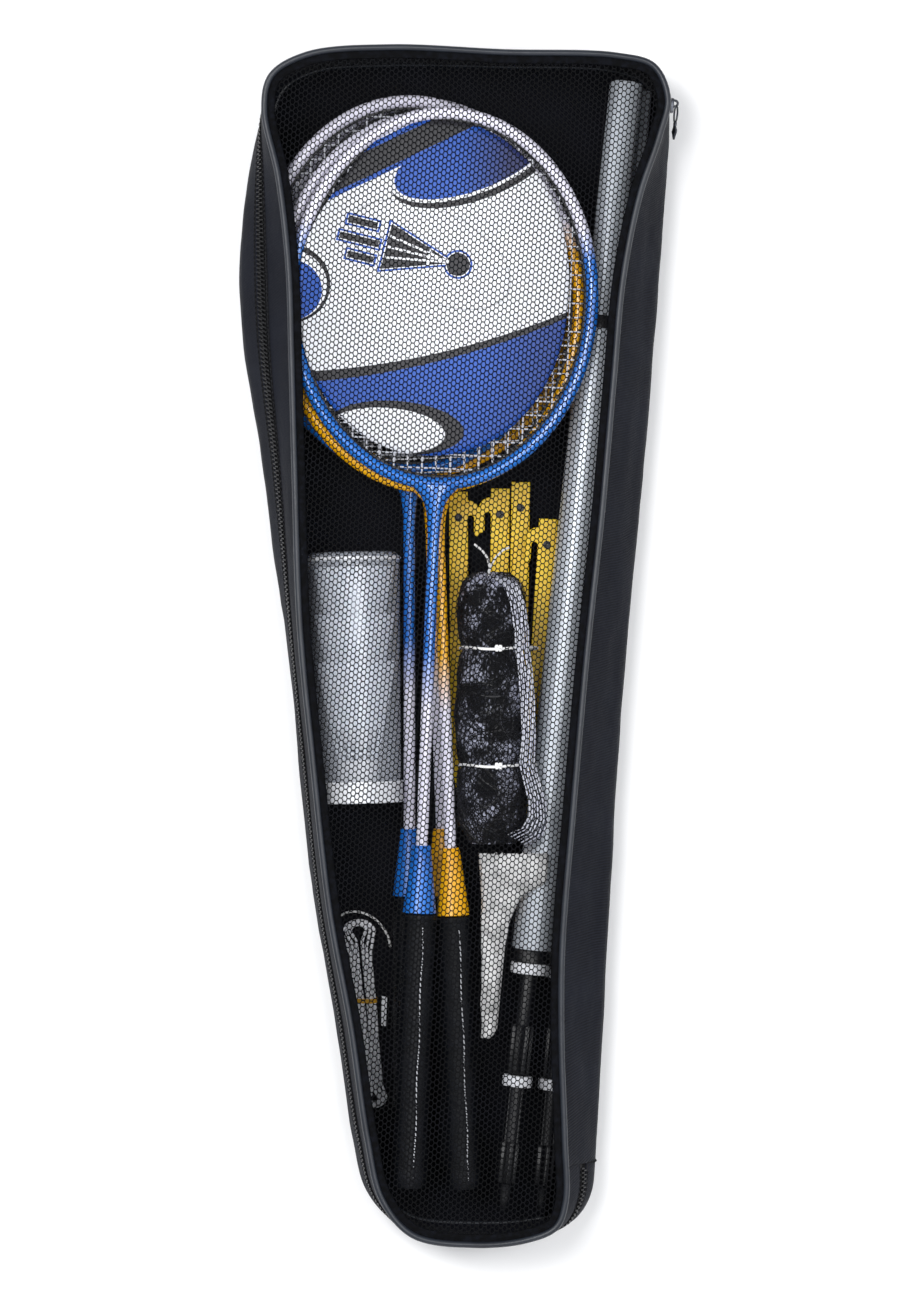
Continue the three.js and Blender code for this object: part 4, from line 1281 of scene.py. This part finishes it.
def arc(cx, cy, radius, start, end, steps=8):
    turns = [start + (end - start) * k / steps for k in range(steps + 1)]
    return [(cx + radius * math.cos(t), cy + radius * math.sin(t)) for t in turns]


def make_peg(paints, name, top, lean, hook, lift):
    h = PEG_HALF
    side = -1 if hook < 0 else 1
    outline = [(-h, 0), (-h, -PEG_LENGTH + 22), (-1, -PEG_LENGTH), (1, -PEG_LENGTH), (h, -PEG_LENGTH + 22)]
    if hook:
        outline += arc(h + 1.9, -16.5, 1.9, math.pi, 0)
        outline += arc(h + 5.7, -25.5, 1.9, math.pi, 2 * math.pi)
        outline += arc(h, -13, 7.6, -0.2, math.pi / 2)
    outline += [(h, 0)]
    outline = [(side * x, y) for x, y in outline]
    if side < 0:
        outline = outline[::-1]
    peg = Build().prism(outline, -1.2, 1.2)
    rib = PEG_LENGTH / 2
    peg.box((0, -rib, -4.4), (1.0, rib - 24, 3.4))
    for x in (-h + 0.9, h - 0.9):
        peg.box((x, -rib - 6, 1.2), (0.9, rib - 30, 0.7))
    turn = Matrix.Rotation(math.radians(lean), 4, "Z")
    place = Matrix.Translation(Vector((*top, 10.6 + lift)) * MM) @ turn
    obj = bevel(peg.make(f"{name}_body", paints["peg"], "peg_plastic", place=place), 0.45)
    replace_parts(obj, name)
    eye = Build().lathe([(0.1, 1.28), (1.75, 1.3), (2.2, 1.35), (2.5, 1.2)], 24)
    eye_place = place @ Matrix.Translation(Vector((0, -16, 0)) * MM) @ Matrix.Rotation(math.pi / 2, 4, "X")
    eye.make(f"{name}_eye", paints["grommet"], "pole_plug", place=eye_place)


# ---------------------------------------------------------------- guy rope and sleeve
ROPE = 2.0
ROPE_TOP = (-60.5, -171.0)
ROPE_LOW = (-49.5, -286.0)
ROPE_LOOPS = ((0, 0), (1, 0), (2, 0), (2, 1), (1, 1), (0, 1))  # how far out, and in which layer


def hank_point(share, out, layer):
    """A place on one turn of the hank: two runs that lie side by side, and a round fold at each end."""
    long = (Vector(ROPE_LOW) - Vector(ROPE_TOP)).length
    turn = 2 * math.pi * share
    radius = (2.0 + out) * ROPE
    half = long / 2 - (2 - out) * ROPE * 0.6
    along = -half * math.copysign(abs(math.cos(turn)) ** 0.5, math.cos(turn))
    from_end = half - abs(along)
    bulb = min(from_end / (radius * (2.6 if along < 0 else 1.6)), 1.0)
    wide = radius * (1.25 if along < 0 else 1.0)
    narrow = (0.55 + 1.05 * out) * ROPE
    side = wide * math.sqrt(max(1 - (1 - min(from_end / radius, 1)) ** 2, 0))
    side += (narrow - wide) * max(bulb - 0.35, 0) / 0.65 * (1 if along > 0 else 0.85)
    return long / 2 + along, side * math.copysign(1, math.sin(turn)), 3.2 + 1.02 * ROPE * layer


def hank_path():
    axis = (Vector(ROPE_LOW) - Vector(ROPE_TOP)).normalized()
    across = Vector((-axis.y, axis.x))
    path = []
    steps = 72
    for turn, (out, layer) in enumerate(ROPE_LOOPS):
        after = ROPE_LOOPS[min(turn + 1, len(ROPE_LOOPS) - 1)]
        for k in range(steps):
            share = k / steps
            shift = min(max((share - 0.6) / 0.3, 0), 1)
            shift = shift * shift * (3 - 2 * shift)
            along, side, z = hank_point(share, out + (after[0] - out) * shift,
                                        layer + (after[1] - layer) * shift)
            wobble = 0.25 * noise.noise(Vector((along * 0.03, turn * 4.0, 0)))
            point = Vector(ROPE_TOP) + axis * along + across * (side + wobble)
            path.append((point.x, point.y, z))
    return path


def make_guy_rope(paints):
    axis = (Vector(ROPE_LOW) - Vector(ROPE_TOP)).normalized()
    across = Vector((-axis.y, axis.x))
    path = hank_path()
    curve = bpy.data.curves.new("guy_rope", "CURVE")
    curve.dimensions = "3D"
    curve.bevel_depth = ROPE / 2 * MM
    curve.bevel_resolution = 2
    curve.use_fill_caps = True
    spline = curve.splines.new("POLY")
    spline.points.add(len(path) - 1)
    for target, point in zip(spline.points, path):
        target.co = (*(Vector(point) * MM), 1)
    curve.materials.append(paints["rope"])
    rope = bpy.data.objects.new("guy_rope", curve)
    bpy.context.collection.objects.link(rope)
    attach(rope, "bag")
    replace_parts(rope, "guy_rope_hank")

    middle = Vector(ROPE_TOP) + axis * 50
    band = Build()
    for shift in (-0.9, 0.5):
        ring = []
        for k in range(40):
            t = 2 * math.pi * k / 40
            place = middle + axis * (shift + 0.5 * math.sin(2 * t)) + across * 7.4 * math.cos(t)
            ring.append((place.x, place.y, 4.5 + 3.4 * math.sin(t)))
        band.tube(ring, 0.75, sides=6, closed=True)
    band.make("rubber_band", paints["band"], "rope")
    clip = Build().prism([(-45.4, -217), (-41.8, -218), (-42.6, -236), (-45.6, -235.5)], 8.2, 10.4)
    bevel(clip.make("rope_runner", paints["white"], "white_plastic"), 0.5)
    make_runner_string(paints)


RUNNER_STRING = (
    (-72, -170, 5), (-71, -168.4, 5.8), (-69.5, -167, 6.8), (-67.4, -165.9, 7.8), (-65, -165.3, 8.6),
    (-62, -165.1, 9.2), (-59, -165.4, 9.6), (-56.2, -166.1, 9.8), (-53.5, -167.2, 9.9),
    (-50.9, -168.7, 9.8), (-48.5, -170.6, 9.6), (-46.4, -172.7, 9.3), (-44.5, -175, 8.9),
    (-42.9, -177.6, 8.4), (-41.5, -180.5, 7.8), (-40.6, -183.6, 7.1), (-40, -187, 6.4),
)


def make_runner_string(paints):
    string = Build().tube(RUNNER_STRING, 0.75, sides=8)
    obj = string.make("runner_string", paints["tie"], "tie_string")


def make_sleeve(paints):
    rows = []
    for k in range(46):
        y = -127.5 - 112.5 * k / 45
        left = 14.6 + 1.5 * min((-127.5 - y) / 25, 1) + 0.9 * noise.noise(Vector((0, y * 0.08, 0)))
        right = np.interp(-y, [127, 131, 146, 154, 168, 184, 205, 236, 240],
                          [57.2, 57, 55.5, 40, 33.5, 30.4, 28.4, 25.4, 21.5])
        row = []
        for i in range(25):
            share = i / 24
            x = left + (right - left) * share
            crease = noise.noise(Vector((x * 0.16, y * 0.055, 2)))
            crease += 0.5 * noise.noise(Vector((x * 0.4, y * 0.2, 4)))
            swell = 4.5 * math.sin(math.pi * share) ** 0.8
            jag = 1.6 * noise.noise(Vector((x * 0.5, 0, 8))) * max(1 - k / 3, 0)
            row.append((x, y + jag, 48.2 + swell + 2.1 * crease))
        rows.append(row)
    film = Build().rows(rows, round_rows=False)
    obj = thicken(film.make("sleeve_film", paints["film"], "film", smooth_angle=80), 0.25)
    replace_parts(obj, "film_sleeve")


# ---------------------------------------------------------------- everything
def make_floor():
    bpy.ops.mesh.primitive_plane_add(size=12, location=(0, 0, -0.0006))
    floor = bpy.context.object
    floor.name = "floor"
    paint = Paint("studio floor", (0.92, 0.92, 0.92), 0.9)
    floor.data.materials.append(paint.material)


make_camera()
make_studio()
make_floor()
PAINTS = make_materials()
make_guy_rope(PAINTS)
make_bag(PAINTS)
make_zip(PAINTS)
make_slider(PAINTS)
for racket in RACKETS:
    make_racket(PAINTS, *racket)
make_card(PAINTS)
for pole in POLES:
    make_pole(PAINTS, *pole)
make_shuttle_tube(PAINTS)
make_net(PAINTS)
for peg_row in PEGS:
    make_peg(PAINTS, *peg_row)
make_sleeve(PAINTS)
HIGHEST = ("racket_1", "racket_2", "card", "clear_tube", "tube_rim", "head_tape", "pole_1", "sleeve")
UNDER = [o for o in bpy.data.objects if o.type == "MESH" and o.get("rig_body") == "bag"
         and o.name.startswith(HIGHEST)]  # what the mesh front rests on
make_mesh_front(PAINTS, UNDER)
